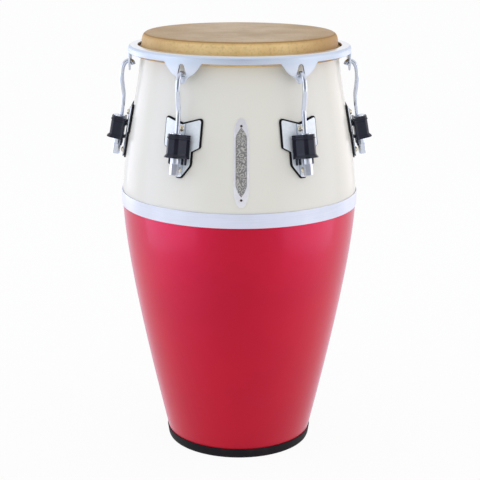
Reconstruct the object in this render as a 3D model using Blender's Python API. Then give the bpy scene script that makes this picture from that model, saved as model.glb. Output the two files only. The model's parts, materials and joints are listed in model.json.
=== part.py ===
"""Tumba: the widest drum of the conga family, with a tuned skin head.

Metres, +Z up. The origin is the centre of the foot's rubber ring, on the floor,
and the badge faces -Y. Azimuth is measured from the front, -Y, towards +X.

The staved shell is one turned body. The skin is wrapped round a flesh hoop, and
the rim lies on that wrapped edge. Six hooks hang in the rim's ears and run down
through the lug casings on the shell, where a nut on each pulls them tight.
"""
import math

import bmesh
import bpy
from mathutils import Matrix, Vector

# Gap that pieces keep where they touch
CLEAR = 0.0003

# Facets round the drum, a multiple of the lug count so that lugs look alike
SEGMENTS = 36

# Whole drum
HEIGHT = 0.6990
LUG_COUNT = 6
FIRST_LUG_AZIMUTH = math.radians(30)

# Shell
BEARING_EDGE_RADIUS = 0.15875
BELLY_RADIUS = 0.1950
BELLY_DROP = 0.2690
FOOT_RADIUS = 0.1190
SHELL_WALL = 0.012
FOOT_FLARE = math.radians(13.28)
FOOT_HANDLE = 0.3225
BELLY_HANDLE_BELOW = 0.0254
BELLY_HANDLE_ABOVE = 0.0701
TOP_LEAN = math.radians(3.15)
TOP_HANDLE = 0.0842
BEARING_CHAMFER = 0.0035
# Corners of the turned outline, as shares of the height below and above the belly
STATIONS_BELOW = (0.2, 0.4, 0.6, 0.8, 1.0)
STATIONS_ABOVE = (0.2, 0.4, 0.6, 0.8, 0.9, 1.0)

# Skin head and the steel hoop inside its edge
SKIN_THICKNESS = 0.0025
CREASE_RADIUS = 0.0070
HOOP_CENTRE_DROP = 0.0301
HOOP_BAR_RADIUS = 0.0040
TUCK_ANGLE = math.radians(60)
HOOP_SIDES = 6

# Rim, a rolled steel strip with an ear for each hook
RIM_STANDOFF = 0.02325
RIM_THICKNESS = 0.0030
RIM_LOWER_EDGE_DROP = 0.0334
RIM_BEND_RADIUS = 0.0065
RIM_BEND_ANGLE = math.radians(80)
RIM_INNER_STANDOFF = 0.00775
RIM_BEND_DROP = 0.0290
EAR_HALF_WIDTH = 0.0345
EAR_DROP = 0.0306
# Each point is a share of the ear's half width and of its drop
EAR_OUTLINE = ((0.0, 1.0), (0.13, 0.95), (0.24, 0.85), (0.35, 0.67), (0.49, 0.49), (0.63, 0.40),
               (0.82, 0.19), (1.0, 0.0))
RIM_GAP_COLUMNS = 4
SLOT_TOP_RADIUS = 0.0058
SLOT_TOP_MARGIN = 0.0020
SLOT_FOOT_HALF_WIDTH = 0.0080
SLOT_FOOT_HEIGHT = 0.0045

# Tuning hook, a round bar whose straight lower end is threaded
HOOK_BAR_RADIUS = 0.0040
HOOK_SIDES = 8
HOOK_SEAT_DROP = 0.0520
HOOK_SEAT_PLAY = 0.0009
HOOK_TAIL = 0.0600
# Offsets from the bar's centre over the ear, outward and up
HOOK_BEND = ((0.0110, -0.0562), (0.0121, -0.0420), (0.0131, -0.0260), (0.0117, -0.0131),
             (0.0099, -0.0077), (0.0074, -0.0036), (0.0043, -0.0010), (0.0010, 0.0000),
             (-0.0025, -0.0006), (-0.0050, -0.0026), (-0.0064, -0.0057))
HOOK_STRAIGHT_TOP = 0.0120

# Axis of hook and nut, in the upright plane through a lug, parallel to the shell at the casing's top
AXIS_STANDOFF = 0.0180
CASING_TOP_DROP = 0.1398

# Lug casing, in the axis frame: out from the drum, across, and along the bar
CASING_HEIGHT = 0.0362
CASING_PLAN = ((-0.0072, 0.0195), (-0.0045, 0.0155), (0.0105, 0.0105), (0.0142, 0.0055))
CASING_BACK_GAP = 0.0024
CASING_BEAD_TOP = 0.0040
CASING_BEAD_HEIGHT = 0.0028
CASING_BEAD_PROUD = 0.0008
CASING_FLARE_HEIGHT = 0.0065
CASING_FLARE_PROUD = 0.0036
CASING_LIP_HEIGHT = 0.0016
ARM_HALF_WIDTH = 0.0050
UPPER_ARM_SPAN = (0.0035, 0.0140)
LOWER_ARM_SPAN = (0.0300, 0.0350)
LEG_INNER = 0.0072
LEG_OUTER = 0.0160
LEG_THICKNESS = 0.0030
LEG_LENGTH = 0.0100

# Steel bush in the casing
BUSH_FLANGE_RADIUS = 0.0093
BUSH_FLANGE_OFFSET = 0.0022
BUSH_FLANGE_THICKNESS = 0.0015
BUSH_SLEEVE_RADIUS = 0.0062
BORE_RADIUS = 0.0045

# Tuning nut
NUT_COLLAR_RADIUS = 0.0070
NUT_COLLAR_HEIGHT = 0.0092
NUT_ACROSS_FLATS = 0.0128
NUT_HEX_HEIGHT = 0.0172

# Lug plate and the rubber gasket under it: half outlines, with heights from the casing's top
PLATE_THICKNESS = 0.0015
GASKET_THICKNESS = 0.0025
GASKET_BORDER = 0.0026
PLATE_HALF_WIDTH = 0.0305
PLATE_WAIST_HALF_WIDTH = 0.0178
PLATE_TIP_HALF_WIDTH = 0.0035
PLATE_CORNER = 0.0026
PLATE_NOTCH_RISE = 0.0130
PLATE_SHOULDER_RISE = 0.0220
PLATE_SIDE_FOOT_DROP = 0.0202
PLATE_STEP_DROP = 0.0272
PLATE_WAIST_FOOT_DROP = 0.0487
PLATE_TIP_DROP = 0.0667
# Raised channel down the middle of the plate, in which the bolts sit
CHANNEL_HALF_WIDTH = 0.0058
CHANNEL_SLOPE = 0.0012
CHANNEL_PROUD = 0.0012

# Bolts that hold plate and gasket to the shell
UPPER_BOLT_RISE = 0.0063
LOWER_BOLT_DROP = 0.0567
BOLT_HEAD_RADIUS = 0.0048
BOLT_HEAD_HEIGHT = 0.0036
BOLT_SHANK_RADIUS = 0.0030
BOLT_HOLE_RADIUS = 0.0034
BOLT_NUT_RADIUS = 0.0055
BOLT_NUT_HEIGHT = 0.0050
BOLT_SEAT_GAP = 0.0009
BOLT_SIDES = 8

# Belly band
BAND_THICKNESS = 0.0012
BAND_BELOW_BELLY = 0.0135
BAND_ABOVE_BELLY = 0.0097

# Rubber foot ring
FOOT_RING_HEIGHT = 0.0165
FOOT_RING_FLOOR = 0.0030
FOOT_RING_WALL_TOP = 0.0013
FOOT_RING_WALL_FOOT = 0.0032
FOOT_RING_ROUND = 0.0020

# Badge, a pointed plate at the front
BADGE_THICKNESS = 0.0010
BADGE_HALF_WIDTH = 0.0114
BADGE_OVER_BAND = 0.0093
BADGE_LENGTH = 0.1360
BADGE_TAPER = 0.0260
BADGE_PIN_INSET = 0.0120
BADGE_PIN_RADIUS = 0.0011
BADGE_PIN_HEAD_RADIUS = 0.0019
BADGE_PIN_HEAD_HEIGHT = 0.0008
BADGE_PIN_LENGTH = 0.0080

# Levels and radii that follow from the sizes above
SHELL_TOP = HEIGHT - SKIN_THICKNESS - CLEAR
SHELL_FOOT = FOOT_RING_FLOOR + CLEAR
SKIN_MIDDLE = HEIGHT - SKIN_THICKNESS / 2
HOOP_LEVEL = HEIGHT - HOOP_CENTRE_DROP
RIM_LOWER_EDGE = HEIGHT - RIM_LOWER_EDGE_DROP
RIM_BEND_LEVEL = HEIGHT - RIM_BEND_DROP
HOOK_SEAT_LEVEL = HEIGHT - HOOK_SEAT_DROP
RIM_RADIUS = BEARING_EDGE_RADIUS + RIM_STANDOFF
RIM_INNER_RADIUS = BEARING_EDGE_RADIUS + RIM_INNER_STANDOFF
BELLY_HEIGHT = HEIGHT - BELLY_DROP
BAND_LOWER = BELLY_HEIGHT - BAND_BELOW_BELLY
BAND_UPPER = BELLY_HEIGHT + BAND_ABOVE_BELLY
BADGE_LOWER = BAND_UPPER + BADGE_OVER_BAND
BADGE_UPPER = BADGE_LOWER + BADGE_LENGTH
CASING_TOP = HEIGHT - CASING_TOP_DROP
PLATE_NOTCH = CASING_TOP + PLATE_NOTCH_RISE
PLATE_SHOULDER = CASING_TOP + PLATE_SHOULDER_RISE
PLATE_SIDE_FOOT = CASING_TOP - PLATE_SIDE_FOOT_DROP
PLATE_STEP = CASING_TOP - PLATE_STEP_DROP
PLATE_WAIST_FOOT = CASING_TOP - PLATE_WAIST_FOOT_DROP
PLATE_TIP = CASING_TOP - PLATE_TIP_DROP
BOLT_HEIGHTS = (("upper", CASING_TOP + UPPER_BOLT_RISE), ("lower", CASING_TOP - LOWER_BOLT_DROP))
PLATE_INNER_OFFSET = 2 * CLEAR + GASKET_THICKNESS
PLATE_OUTER_OFFSET = PLATE_INNER_OFFSET + PLATE_THICKNESS


def clear_scene():
    """Remove the objects of the scene that the file opened with."""
    for thing in list(bpy.data.objects):
        bpy.data.objects.remove(thing, do_unlink=True)


def make_material(name, colour, roughness, metallic=0.0):
    """Return a Principled material of one finish."""
    material = bpy.data.materials.new(name)
    material.use_nodes = True
    shader = material.node_tree.nodes["Principled BSDF"]
    shader.inputs["Base Color"].default_value = (*colour, 1.0)
    shader.inputs["Roughness"].default_value = roughness
    shader.inputs["Metallic"].default_value = metallic
    material.diffuse_color = (*colour, 1.0)
    return material


def finish_mesh(name, bm, material, crisp=30):
    """Turn a bmesh into a mesh with outward faces, smooth except at sharp edges."""
    bmesh.ops.recalc_face_normals(bm, faces=bm.faces)
    mesh = bpy.data.meshes.new(name)
    bm.to_mesh(mesh)
    bm.free()
    mesh.materials.append(material)
    mesh.shade_smooth()
    mesh.set_sharp_from_angle(angle=math.radians(crisp))
    return mesh


def place(name, mesh, matrix=None):
    """Add an object for a mesh, moved by a matrix if one is given."""
    thing = bpy.data.objects.new(name, mesh)
    bpy.context.scene.collection.objects.link(thing)
    if matrix is not None:
        thing.matrix_world = matrix
    return thing


def lathe(profile, on_axis=False, segments=SEGMENTS):
    """Spin a profile of (radius, height) points round Z. It is a closed loop unless it ends on the axis."""
    bm = bmesh.new()
    points = [bm.verts.new((radius, 0.0, height)) for radius, height in profile]
    edges = [bm.edges.new(pair) for pair in zip(points, points[1:])]
    if not on_axis:
        edges.append(bm.edges.new((points[-1], points[0])))
    bmesh.ops.spin(bm, geom=points + edges, cent=(0, 0, 0), axis=(0, 0, 1),
                   angle=math.tau, steps=segments, use_merge=True)
    bmesh.ops.remove_doubles(bm, verts=bm.verts, dist=1e-6)
    return bm


def prism(outline, to_low, to_high):
    """Join an outline's two placed copies into a solid. to_low and to_high turn (a, b) into a point."""
    bm = bmesh.new()
    low = [bm.verts.new(to_low(*point)) for point in outline]
    high = [bm.verts.new(to_high(*point)) for point in outline]
    bm.faces.new(low[::-1])
    bm.faces.new(high)
    for index, vert in enumerate(low):
        after = (index + 1) % len(low)
        bm.faces.new((vert, low[after], high[after], high[index]))
    bmesh.ops.recalc_face_normals(bm, faces=bm.faces)
    return bm


def cylinder(radius, low, high, sides, centre=(0.0, 0.0), turn=0.0):
    """Return an upright round or many-sided bar."""
    outline = [(centre[0] + radius * math.cos(turn + math.tau * k / sides),
                centre[1] + radius * math.sin(turn + math.tau * k / sides)) for k in range(sides)]
    return prism(outline, lambda a, b: (a, b, low), lambda a, b: (a, b, high))


def merged(parts):
    """Put several bmeshes, each with an optional matrix, into one."""
    whole = bmesh.new()
    for bm, matrix in parts:
        if matrix is not None:
            bmesh.ops.transform(bm, matrix=matrix, verts=bm.verts)
        mesh = bpy.data.meshes.new("piece")
        bm.to_mesh(mesh)
        bm.free()
        whole.from_mesh(mesh)
        bpy.data.meshes.remove(mesh)
    return whole


def combined(bm, other, operation):
    """Return one bmesh joined with, or cut by, another."""
    things = []
    for part in (bm, other):
        bmesh.ops.recalc_face_normals(part, faces=part.faces)
        mesh = bpy.data.meshes.new("step")
        part.to_mesh(mesh)
        part.free()
        things.append(place("step", mesh))
    modifier = things[0].modifiers.new("Boolean", "BOOLEAN")
    modifier.operation = operation
    modifier.solver = "EXACT"
    modifier.object = things[1]
    bpy.context.view_layer.update()
    result = bmesh.new()
    result.from_mesh(things[0].evaluated_get(bpy.context.evaluated_depsgraph_get()).to_mesh())
    for thing in things:
        mesh = thing.data
        bpy.data.objects.remove(thing, do_unlink=True)
        bpy.data.meshes.remove(mesh)
    return result


def bezier(points, share):
    """Return the point of a cubic Bezier curve at a share of its way."""
    left = 1.0 - share
    weights = (left ** 3, 3 * left ** 2 * share, 3 * left * share ** 2, share ** 3)
    return tuple(sum(weight * point[axis] for weight, point in zip(weights, points)) for axis in (0, 1))


LOWER_CURVE = ((FOOT_RADIUS, 0.0), (FOOT_RADIUS + math.tan(FOOT_FLARE) * FOOT_HANDLE, FOOT_HANDLE),
               (BELLY_RADIUS, BELLY_HEIGHT - BELLY_HANDLE_BELOW), (BELLY_RADIUS, BELLY_HEIGHT))
UPPER_CURVE = ((BELLY_RADIUS, BELLY_HEIGHT), (BELLY_RADIUS, BELLY_HEIGHT + BELLY_HANDLE_ABOVE),
               (BEARING_EDGE_RADIUS + math.tan(TOP_LEAN) * TOP_HANDLE, SHELL_TOP - TOP_HANDLE),
               (BEARING_EDGE_RADIUS, SHELL_TOP))


def shell_radius(height):
    """Return the shell's outer radius at a height."""
    curve = LOWER_CURVE if height < BELLY_HEIGHT else UPPER_CURVE
    low, high = 0.0, 1.0
    for _ in range(40):
        middle = (low + high) / 2
        if bezier(curve, middle)[1] < height:
            low = middle
        else:
            high = middle
    return bezier(curve, low)[0]


def shell_slope(height, step=0.002):
    """Return how fast the shell narrows with height, as radius lost over height gained."""
    return (shell_radius(height - step) - shell_radius(height + step)) / (2 * step)


AXIS_RADIUS = shell_radius(CASING_TOP) + AXIS_STANDOFF
AXIS_TILT = math.atan(shell_slope(CASING_TOP))


def arc(centre, radius, start, end, steps):
    """Return points along an arc in the (radius, height) plane."""
    return [(centre[0] + radius * math.cos(start + (end - start) * k / steps),
             centre[1] + radius * math.sin(start + (end - start) * k / steps)) for k in range(steps + 1)]


def thickened(path, half):
    """Return both sides of an open path, moved apart by half a thickness each way, as one loop."""
    sides = ([], [])
    for index, (radius, height) in enumerate(path):
        before = path[max(index - 1, 0)]
        after = path[min(index + 1, len(path) - 1)]
        along = Vector((after[0] - before[0], after[1] - before[1])).normalized()
        sides[0].append((radius + along.y * half, height - along.x * half))
        sides[1].append((radius - along.y * half, height + along.x * half))
    return sides[0] + sides[1][::-1]


def lug_azimuths():
    """Return each lug's number and azimuth."""
    return [(k + 1, FIRST_LUG_AZIMUTH + math.tau * k / LUG_COUNT) for k in range(LUG_COUNT)]


def azimuth_frame(azimuth):
    """Return the frame at the drum's axis whose X points out at an azimuth, and whose Y points across."""
    outward = Vector((math.sin(azimuth), -math.cos(azimuth), 0.0))
    across = Vector((math.cos(azimuth), math.sin(azimuth), 0.0))
    return Matrix((outward, across, Vector((0, 0, 1)))).transposed().to_4x4()


def axis_frame(azimuth):
    """Return the frame on a hook's axis: X out from the drum, Y across, Z up along the bar."""
    lean = Matrix.Translation((AXIS_RADIUS, 0, CASING_TOP)) @ Matrix.Rotation(-AXIS_TILT, 4, "Y")
    return azimuth_frame(azimuth) @ lean


def surface_frame(azimuth, height, offset):
    """Return a frame that stands on the shell's surface, with Z along its normal, moved out by an offset."""
    tip = math.atan(shell_slope(height))
    stand = Matrix.Translation((shell_radius(height), 0, height)) @ Matrix.Rotation(math.pi / 2 - tip, 4, "Y")
    return azimuth_frame(azimuth) @ stand @ Matrix.Translation((0, 0, offset))


def on_shell(across, height, offset):
    """Return a point at an arc distance across and a height, out from the shell's surface by an offset."""
    radius = shell_radius(height)
    angle = across / radius
    return ((radius + offset) * math.cos(angle), (radius + offset) * math.sin(angle), height)


def curved_sheet(columns, inner, outer, rows):
    """Build a sheet that follows the shell. Each column is (across, lowest height, highest height, proud)."""
    bm = bmesh.new()
    grids = []
    for offset, rise in ((inner, 0.0), (outer, 1.0)):
        grid = []
        for across, low, high, proud in columns:
            heights = [low + (high - low) * k / rows for k in range(rows + 1)]
            grid.append([bm.verts.new(on_shell(across, height, offset + rise * proud)) for height in heights])
        grids.append(grid)
        for left, right in zip(grid, grid[1:]):
            for k in range(rows):
                bm.faces.new((left[k], right[k], right[k + 1], left[k + 1]))
    for k in range(len(columns) - 1):
        for row in (0, rows):
            bm.faces.new((grids[0][k][row], grids[0][k + 1][row], grids[1][k + 1][row], grids[1][k][row]))
    for column in (0, -1):
        for k in range(rows):
            bm.faces.new((grids[0][column][k], grids[0][column][k + 1],
                          grids[1][column][k + 1], grids[1][column][k]))
    bmesh.ops.recalc_face_normals(bm, faces=bm.faces)
    return bm


def bolt_hole(azimuth, height, reach_in, reach_out, radius):
    """Return a cutter along the shell's normal at a height."""
    return cylinder(radius, -reach_in, reach_out, BOLT_SIDES), surface_frame(azimuth, height, 0.0)


def make_shell(white, red):
    """The turned shell, open at both ends, with a rounded bearing edge and holes for bolts and pins."""
    edge_centre = (BEARING_EDGE_RADIUS - CREASE_RADIUS + SKIN_THICKNESS / 2 + CLEAR, SKIN_MIDDLE - CREASE_RADIUS)
    edge_round = CREASE_RADIUS - SKIN_THICKNESS / 2 - CLEAR
    outer = [(shell_radius(SHELL_FOOT), SHELL_FOOT)]
    for base, rise, shares in ((0.0, BELLY_HEIGHT, STATIONS_BELOW),
                               (BELLY_HEIGHT, edge_centre[1] - BELLY_HEIGHT, STATIONS_ABOVE)):
        for share in shares:
            height = base + rise * share
            outer.append((shell_radius(height), height))
    top = arc(edge_centre, edge_round, 0.0, math.pi / 2, 2)[1:]
    inner_top = top[-1][0] - BEARING_CHAMFER
    inner_lip = BEARING_EDGE_RADIUS - SHELL_WALL
    chamfer_foot = SHELL_TOP - (inner_top - inner_lip)
    inner = [(inner_top, SHELL_TOP), (inner_lip, chamfer_foot)]
    inner += [(radius - SHELL_WALL, height) for radius, height in outer[-2::-1]]
    bm = lathe(outer + top + inner)
    cutters = []
    for _, azimuth in lug_azimuths():
        for _, height in BOLT_HEIGHTS:
            cutters.append(bolt_hole(azimuth, height, SHELL_WALL * 2, SHELL_WALL, BOLT_HOLE_RADIUS))
    for height in (BADGE_UPPER - BADGE_PIN_INSET, BADGE_LOWER + BADGE_PIN_INSET):
        cutters.append(bolt_hole(0.0, height, BADGE_PIN_LENGTH + CLEAR, SHELL_WALL, BADGE_PIN_RADIUS + CLEAR))
    bm = combined(bm, merged(cutters), "DIFFERENCE")
    mesh = finish_mesh("shell", bm, white)
    mesh.materials.append(red)
    middle = (BAND_LOWER + BAND_UPPER) / 2
    for face in mesh.polygons:
        if face.center.z < middle:
            face.material_index = 1
    place("shell", mesh)


def collar_radius(height):
    """Return the radius of the middle of the skin's collar, which lies over the shell."""
    return shell_radius(height) + CLEAR + SKIN_THICKNESS / 2


def make_head(skin, steel):
    """The skin, tucked round its flesh hoop, and the hoop."""
    crease_centre = (collar_radius(SKIN_MIDDLE - CREASE_RADIUS) - CREASE_RADIUS, SKIN_MIDDLE - CREASE_RADIUS)
    wrap = HOOP_BAR_RADIUS + CLEAR + SKIN_THICKNESS / 2
    hoop_radius = collar_radius(HOOP_LEVEL) + wrap
    path = [(0.0, SKIN_MIDDLE)] + arc(crease_centre, CREASE_RADIUS, math.pi / 2, 0.0, 3)
    path += [(collar_radius((SKIN_MIDDLE - CREASE_RADIUS + HOOP_LEVEL) / 2),
              (SKIN_MIDDLE - CREASE_RADIUS + HOOP_LEVEL) / 2)]
    path += arc((hoop_radius, HOOP_LEVEL), wrap, math.pi, math.tau + TUCK_ANGLE,
                round((math.pi + TUCK_ANGLE) / math.tau * HOOP_SIDES))
    loop = thickened(path, SKIN_THICKNESS / 2)
    loop[0] = (0.0, SKIN_MIDDLE - SKIN_THICKNESS / 2)
    loop[-1] = (0.0, SKIN_MIDDLE + SKIN_THICKNESS / 2)
    place("head_skin", finish_mesh("head_skin", lathe(loop, on_axis=True), skin))
    ring = arc((hoop_radius, HOOP_LEVEL), HOOP_BAR_RADIUS, 0.0, math.tau, HOOP_SIDES)[:-1]
    place("flesh_hoop", finish_mesh("flesh_hoop", lathe(ring), steel, crisp=60))


def rim_columns():
    """Return (azimuth, lower edge height) round the rim, with the ears' outline in it."""
    half_angle = EAR_HALF_WIDTH / RIM_RADIUS
    pitch = math.tau / LUG_COUNT
    columns = []
    for _, azimuth in lug_azimuths():
        for share, drop in EAR_OUTLINE[:0:-1]:
            columns.append((azimuth - share * half_angle, RIM_LOWER_EDGE - drop * EAR_DROP))
        for share, drop in EAR_OUTLINE:
            columns.append((azimuth + share * half_angle, RIM_LOWER_EDGE - drop * EAR_DROP))
        gap = pitch - 2 * half_angle
        for k in range(1, RIM_GAP_COLUMNS):
            columns.append((azimuth + half_angle + gap * k / RIM_GAP_COLUMNS, RIM_LOWER_EDGE))
    return columns


def slot_outline():
    """Return the outline of an ear's slot, across and height: a round top over a wider foot."""
    top_centre = RIM_LOWER_EDGE - SLOT_TOP_MARGIN - SLOT_TOP_RADIUS
    floor = HOOK_SEAT_LEVEL - HOOK_SEAT_PLAY
    outline = [(SLOT_TOP_RADIUS * math.cos(math.pi * k / 6), top_centre + SLOT_TOP_RADIUS * math.sin(math.pi * k / 6))
               for k in range(7)]
    for side in (-1, 1):
        flank = [(side * SLOT_FOOT_HALF_WIDTH, floor + SLOT_FOOT_HEIGHT),
                 (side * SLOT_FOOT_HALF_WIDTH * 0.85, floor + SLOT_FOOT_HEIGHT * 0.3),
                 (side * SLOT_FOOT_HALF_WIDTH * 0.5, floor)]
        outline += flank if side < 0 else flank[::-1]
    return outline


def make_rim(steel):
    """The rim: a strip that rises, bends inward over the hoop, and hangs down in ears with slots."""
    centre_radius = RIM_RADIUS - RIM_THICKNESS / 2
    bend_centre = (centre_radius - RIM_BEND_RADIUS, RIM_BEND_LEVEL)
    path = arc(bend_centre, RIM_BEND_RADIUS, 0.0, RIM_BEND_ANGLE, 2)
    reach = path[-1][0] - RIM_INNER_RADIUS
    path.append((RIM_INNER_RADIUS, path[-1][1] + reach / math.tan(RIM_BEND_ANGLE)))
    path = [(centre_radius, RIM_LOWER_EDGE)] + path
    loop = thickened(path, RIM_THICKNESS / 2)
    loop[0] = (centre_radius + RIM_THICKNESS / 2, RIM_LOWER_EDGE)
    loop[-1] = (centre_radius - RIM_THICKNESS / 2, RIM_LOWER_EDGE)
    bm = bmesh.new()
    rings = []
    for azimuth, lower in rim_columns():
        ring = []
        for index, (radius, height) in enumerate(loop):
            level = lower if index in (0, len(loop) - 1) else height
            ring.append(bm.verts.new((radius * math.sin(azimuth), -radius * math.cos(azimuth), level)))
        rings.append(ring)
    for ring, after in zip(rings, rings[1:] + rings[:1]):
        for k in range(len(loop)):
            following = (k + 1) % len(loop)
            bm.faces.new((ring[k], after[k], after[following], ring[following]))
    outline = slot_outline()
    inside = RIM_RADIUS - 4 * RIM_THICKNESS
    outside = RIM_RADIUS + 2 * RIM_THICKNESS
    cutters = [(prism(outline, lambda a, b: (inside, a, b), lambda a, b: (outside, a, b)), azimuth_frame(azimuth))
               for _, azimuth in lug_azimuths()]
    bm = combined(bm, merged(cutters), "DIFFERENCE")
    place("rim", finish_mesh("rim", bm, steel))


def make_band(steel):
    """The polished band round the belly."""
    inner = BELLY_RADIUS + CLEAR
    outer = inner + BAND_THICKNESS
    profile = [(outer, BAND_UPPER), (outer, BAND_LOWER), (inner, BAND_LOWER), (inner, BAND_UPPER)]
    place("belly_band", finish_mesh("belly_band", lathe(profile), steel))


def make_foot_ring(rubber):
    """The rubber ring that the shell's foot stands in."""
    inner = shell_radius(SHELL_FOOT) - SHELL_WALL + CLEAR
    seat = shell_radius(SHELL_FOOT) + CLEAR
    rim = shell_radius(FOOT_RING_HEIGHT) + CLEAR
    outer_foot = FOOT_RADIUS + CLEAR + FOOT_RING_WALL_FOOT
    corner = (outer_foot - FOOT_RING_ROUND, FOOT_RING_ROUND)
    profile = [(rim + FOOT_RING_WALL_TOP * 0.7, FOOT_RING_HEIGHT),
               (rim + FOOT_RING_WALL_TOP, FOOT_RING_HEIGHT - FOOT_RING_ROUND / 2)]
    profile += arc(corner, FOOT_RING_ROUND, 0.0, -math.pi / 2, 1)
    profile += [(inner, 0.0), (inner, FOOT_RING_FLOOR), (seat, FOOT_RING_FLOOR), (rim, FOOT_RING_HEIGHT)]
    place("foot_ring", finish_mesh("foot_ring", lathe(profile), rubber))


def badge_columns():
    """Return the badge's half outline as columns, pointed at both ends like a boat."""
    columns = []
    for share in (-1.0, -0.82, -0.5, 0.0, 0.5, 0.82, 1.0):
        taper = BADGE_TAPER * abs(share) ** 1.6
        columns.append((share * BADGE_HALF_WIDTH, BADGE_LOWER + taper, BADGE_UPPER - taper, 0.0))
    return columns


def make_badge(bright, dark):
    """The badge at the front and the two pins that hold it."""
    inner, outer = CLEAR, CLEAR + BADGE_THICKNESS
    bm = curved_sheet(badge_columns(), inner, outer, 6)
    heights = (("upper", BADGE_UPPER - BADGE_PIN_INSET), ("lower", BADGE_LOWER + BADGE_PIN_INSET))
    drills = [(cylinder(BADGE_PIN_RADIUS + CLEAR, -SHELL_WALL, SHELL_WALL, BOLT_SIDES),
               azimuth_frame(0.0).inverted() @ surface_frame(0.0, height, 0.0)) for _, height in heights]
    bm = combined(bm, merged(drills), "DIFFERENCE")
    place("badge_plate", finish_mesh("badge_plate", bm, bright), azimuth_frame(0.0))
    seat = outer + CLEAR
    profile = [(0.0, BADGE_PIN_HEAD_HEIGHT), (BADGE_PIN_HEAD_RADIUS * 0.7, BADGE_PIN_HEAD_HEIGHT * 0.75),
               (BADGE_PIN_HEAD_RADIUS, 0.0), (BADGE_PIN_RADIUS, 0.0),
               (BADGE_PIN_RADIUS, BADGE_PIN_RADIUS - BADGE_PIN_LENGTH), (0.0, -BADGE_PIN_LENGTH)]
    mesh = finish_mesh("badge_pin", lathe(profile, on_axis=True, segments=BOLT_SIDES), dark)
    for side, height in heights:
        place("badge_pin_" + side, mesh, surface_frame(0.0, height, seat))


def hook_path():
    """Return the hook's centre line in its axis frame, from the threaded tail to the tip of the bend."""
    over_ear = (RIM_RADIUS - RIM_THICKNESS / 2, HOOK_SEAT_LEVEL + HOOK_BAR_RADIUS)
    sine, cosine = math.sin(AXIS_TILT), math.cos(AXIS_TILT)
    bend = []
    for outward, up in HOOK_BEND:
        out = over_ear[0] + outward - AXIS_RADIUS
        rise = over_ear[1] + up - CASING_TOP
        bend.append((out * cosine + rise * sine, 0.0, rise * cosine - out * sine))
    straight = [(0.0, 0.0, -HOOK_TAIL), (0.0, 0.0, 0.0), (0.0, 0.0, HOOK_STRAIGHT_TOP)]
    return straight + bend


def make_hook_mesh(chrome):
    """The hook: a round bar swept along its centre line."""
    path = [Vector(point) for point in hook_path()]
    bm = bmesh.new()
    rings = []
    for index, point in enumerate(path):
        along = (path[min(index + 1, len(path) - 1)] - path[max(index - 1, 0)]).normalized()
        side = Vector((0, 1, 0))
        out = along.cross(side)
        ring = []
        for k in range(HOOK_SIDES):
            angle = math.tau * (k + 0.5) / HOOK_SIDES
            ring.append(bm.verts.new(point + HOOK_BAR_RADIUS * (out * math.cos(angle) + side * math.sin(angle))))
        rings.append(ring)
    for ring, after in zip(rings, rings[1:]):
        for k in range(HOOK_SIDES):
            following = (k + 1) % HOOK_SIDES
            bm.faces.new((ring[k], ring[following], after[following], after[k]))
    bm.faces.new(rings[0][::-1])
    bm.faces.new(rings[-1])
    return finish_mesh("tuning_hook", bm, chrome, crisp=50)


def make_nut_mesh(chrome):
    """The tuning nut: a round collar over a long hexagon, bored through."""
    top = -CASING_HEIGHT - CLEAR
    shoulder = top - NUT_COLLAR_HEIGHT
    collar = cylinder(NUT_COLLAR_RADIUS, shoulder, top, 10)
    corner_radius = NUT_ACROSS_FLATS / math.sqrt(3)
    hexagon = cylinder(corner_radius, shoulder - NUT_HEX_HEIGHT, shoulder + NUT_COLLAR_HEIGHT / 4, 6)
    body = combined(collar, hexagon, "UNION")
    bore = cylinder(BORE_RADIUS, shoulder - 2 * NUT_HEX_HEIGHT, top + NUT_COLLAR_HEIGHT, HOOK_SIDES)
    return finish_mesh("tuning_nut", combined(body, bore, "DIFFERENCE"), chrome)


def make_bush_mesh(chrome):
    """The steel bush: a wide flange on the casing, set outward of a sleeve that runs through it."""
    flange = cylinder(BUSH_FLANGE_RADIUS, CLEAR, CLEAR + BUSH_FLANGE_THICKNESS, 12, (BUSH_FLANGE_OFFSET, 0.0))
    sleeve = cylinder(BUSH_SLEEVE_RADIUS, CLEAR - CASING_HEIGHT, CLEAR + BUSH_FLANGE_THICKNESS / 2, HOOK_SIDES)
    body = combined(flange, sleeve, "UNION")
    bore = cylinder(BORE_RADIUS, -2 * CASING_HEIGHT, CASING_HEIGHT, HOOK_SIDES)
    return finish_mesh("lug_bush", combined(body, bore, "DIFFERENCE"), chrome)


def casing_ring(grow, back):
    """Return the casing's plan as a loop, grown outward except on the side that faces the drum."""
    plan = ((back, CASING_PLAN[0][1]),) + CASING_PLAN
    half = []
    for index, (out, across) in enumerate(plan):
        lean = index / (len(plan) - 1)
        half.append((out + grow * lean, across + grow * (lean * (1 - lean) + 0.3)))
    return half + [(out, -across) for out, across in half[::-1]]


def plate_face(depth):
    """Return where the plate's face lies in the axis frame at a depth below the casing's top."""
    sine, cosine = math.sin(AXIS_TILT), math.cos(AXIS_TILT)
    out = -0.5 * (AXIS_RADIUS - BEARING_EDGE_RADIUS)
    for _ in range(20):
        height = CASING_TOP + out * sine - depth * cosine
        radius = AXIS_RADIUS + out * cosine + depth * sine
        out += shell_radius(height) + PLATE_OUTER_OFFSET + CHANNEL_PROUD + CLEAR - radius
    return out


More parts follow.
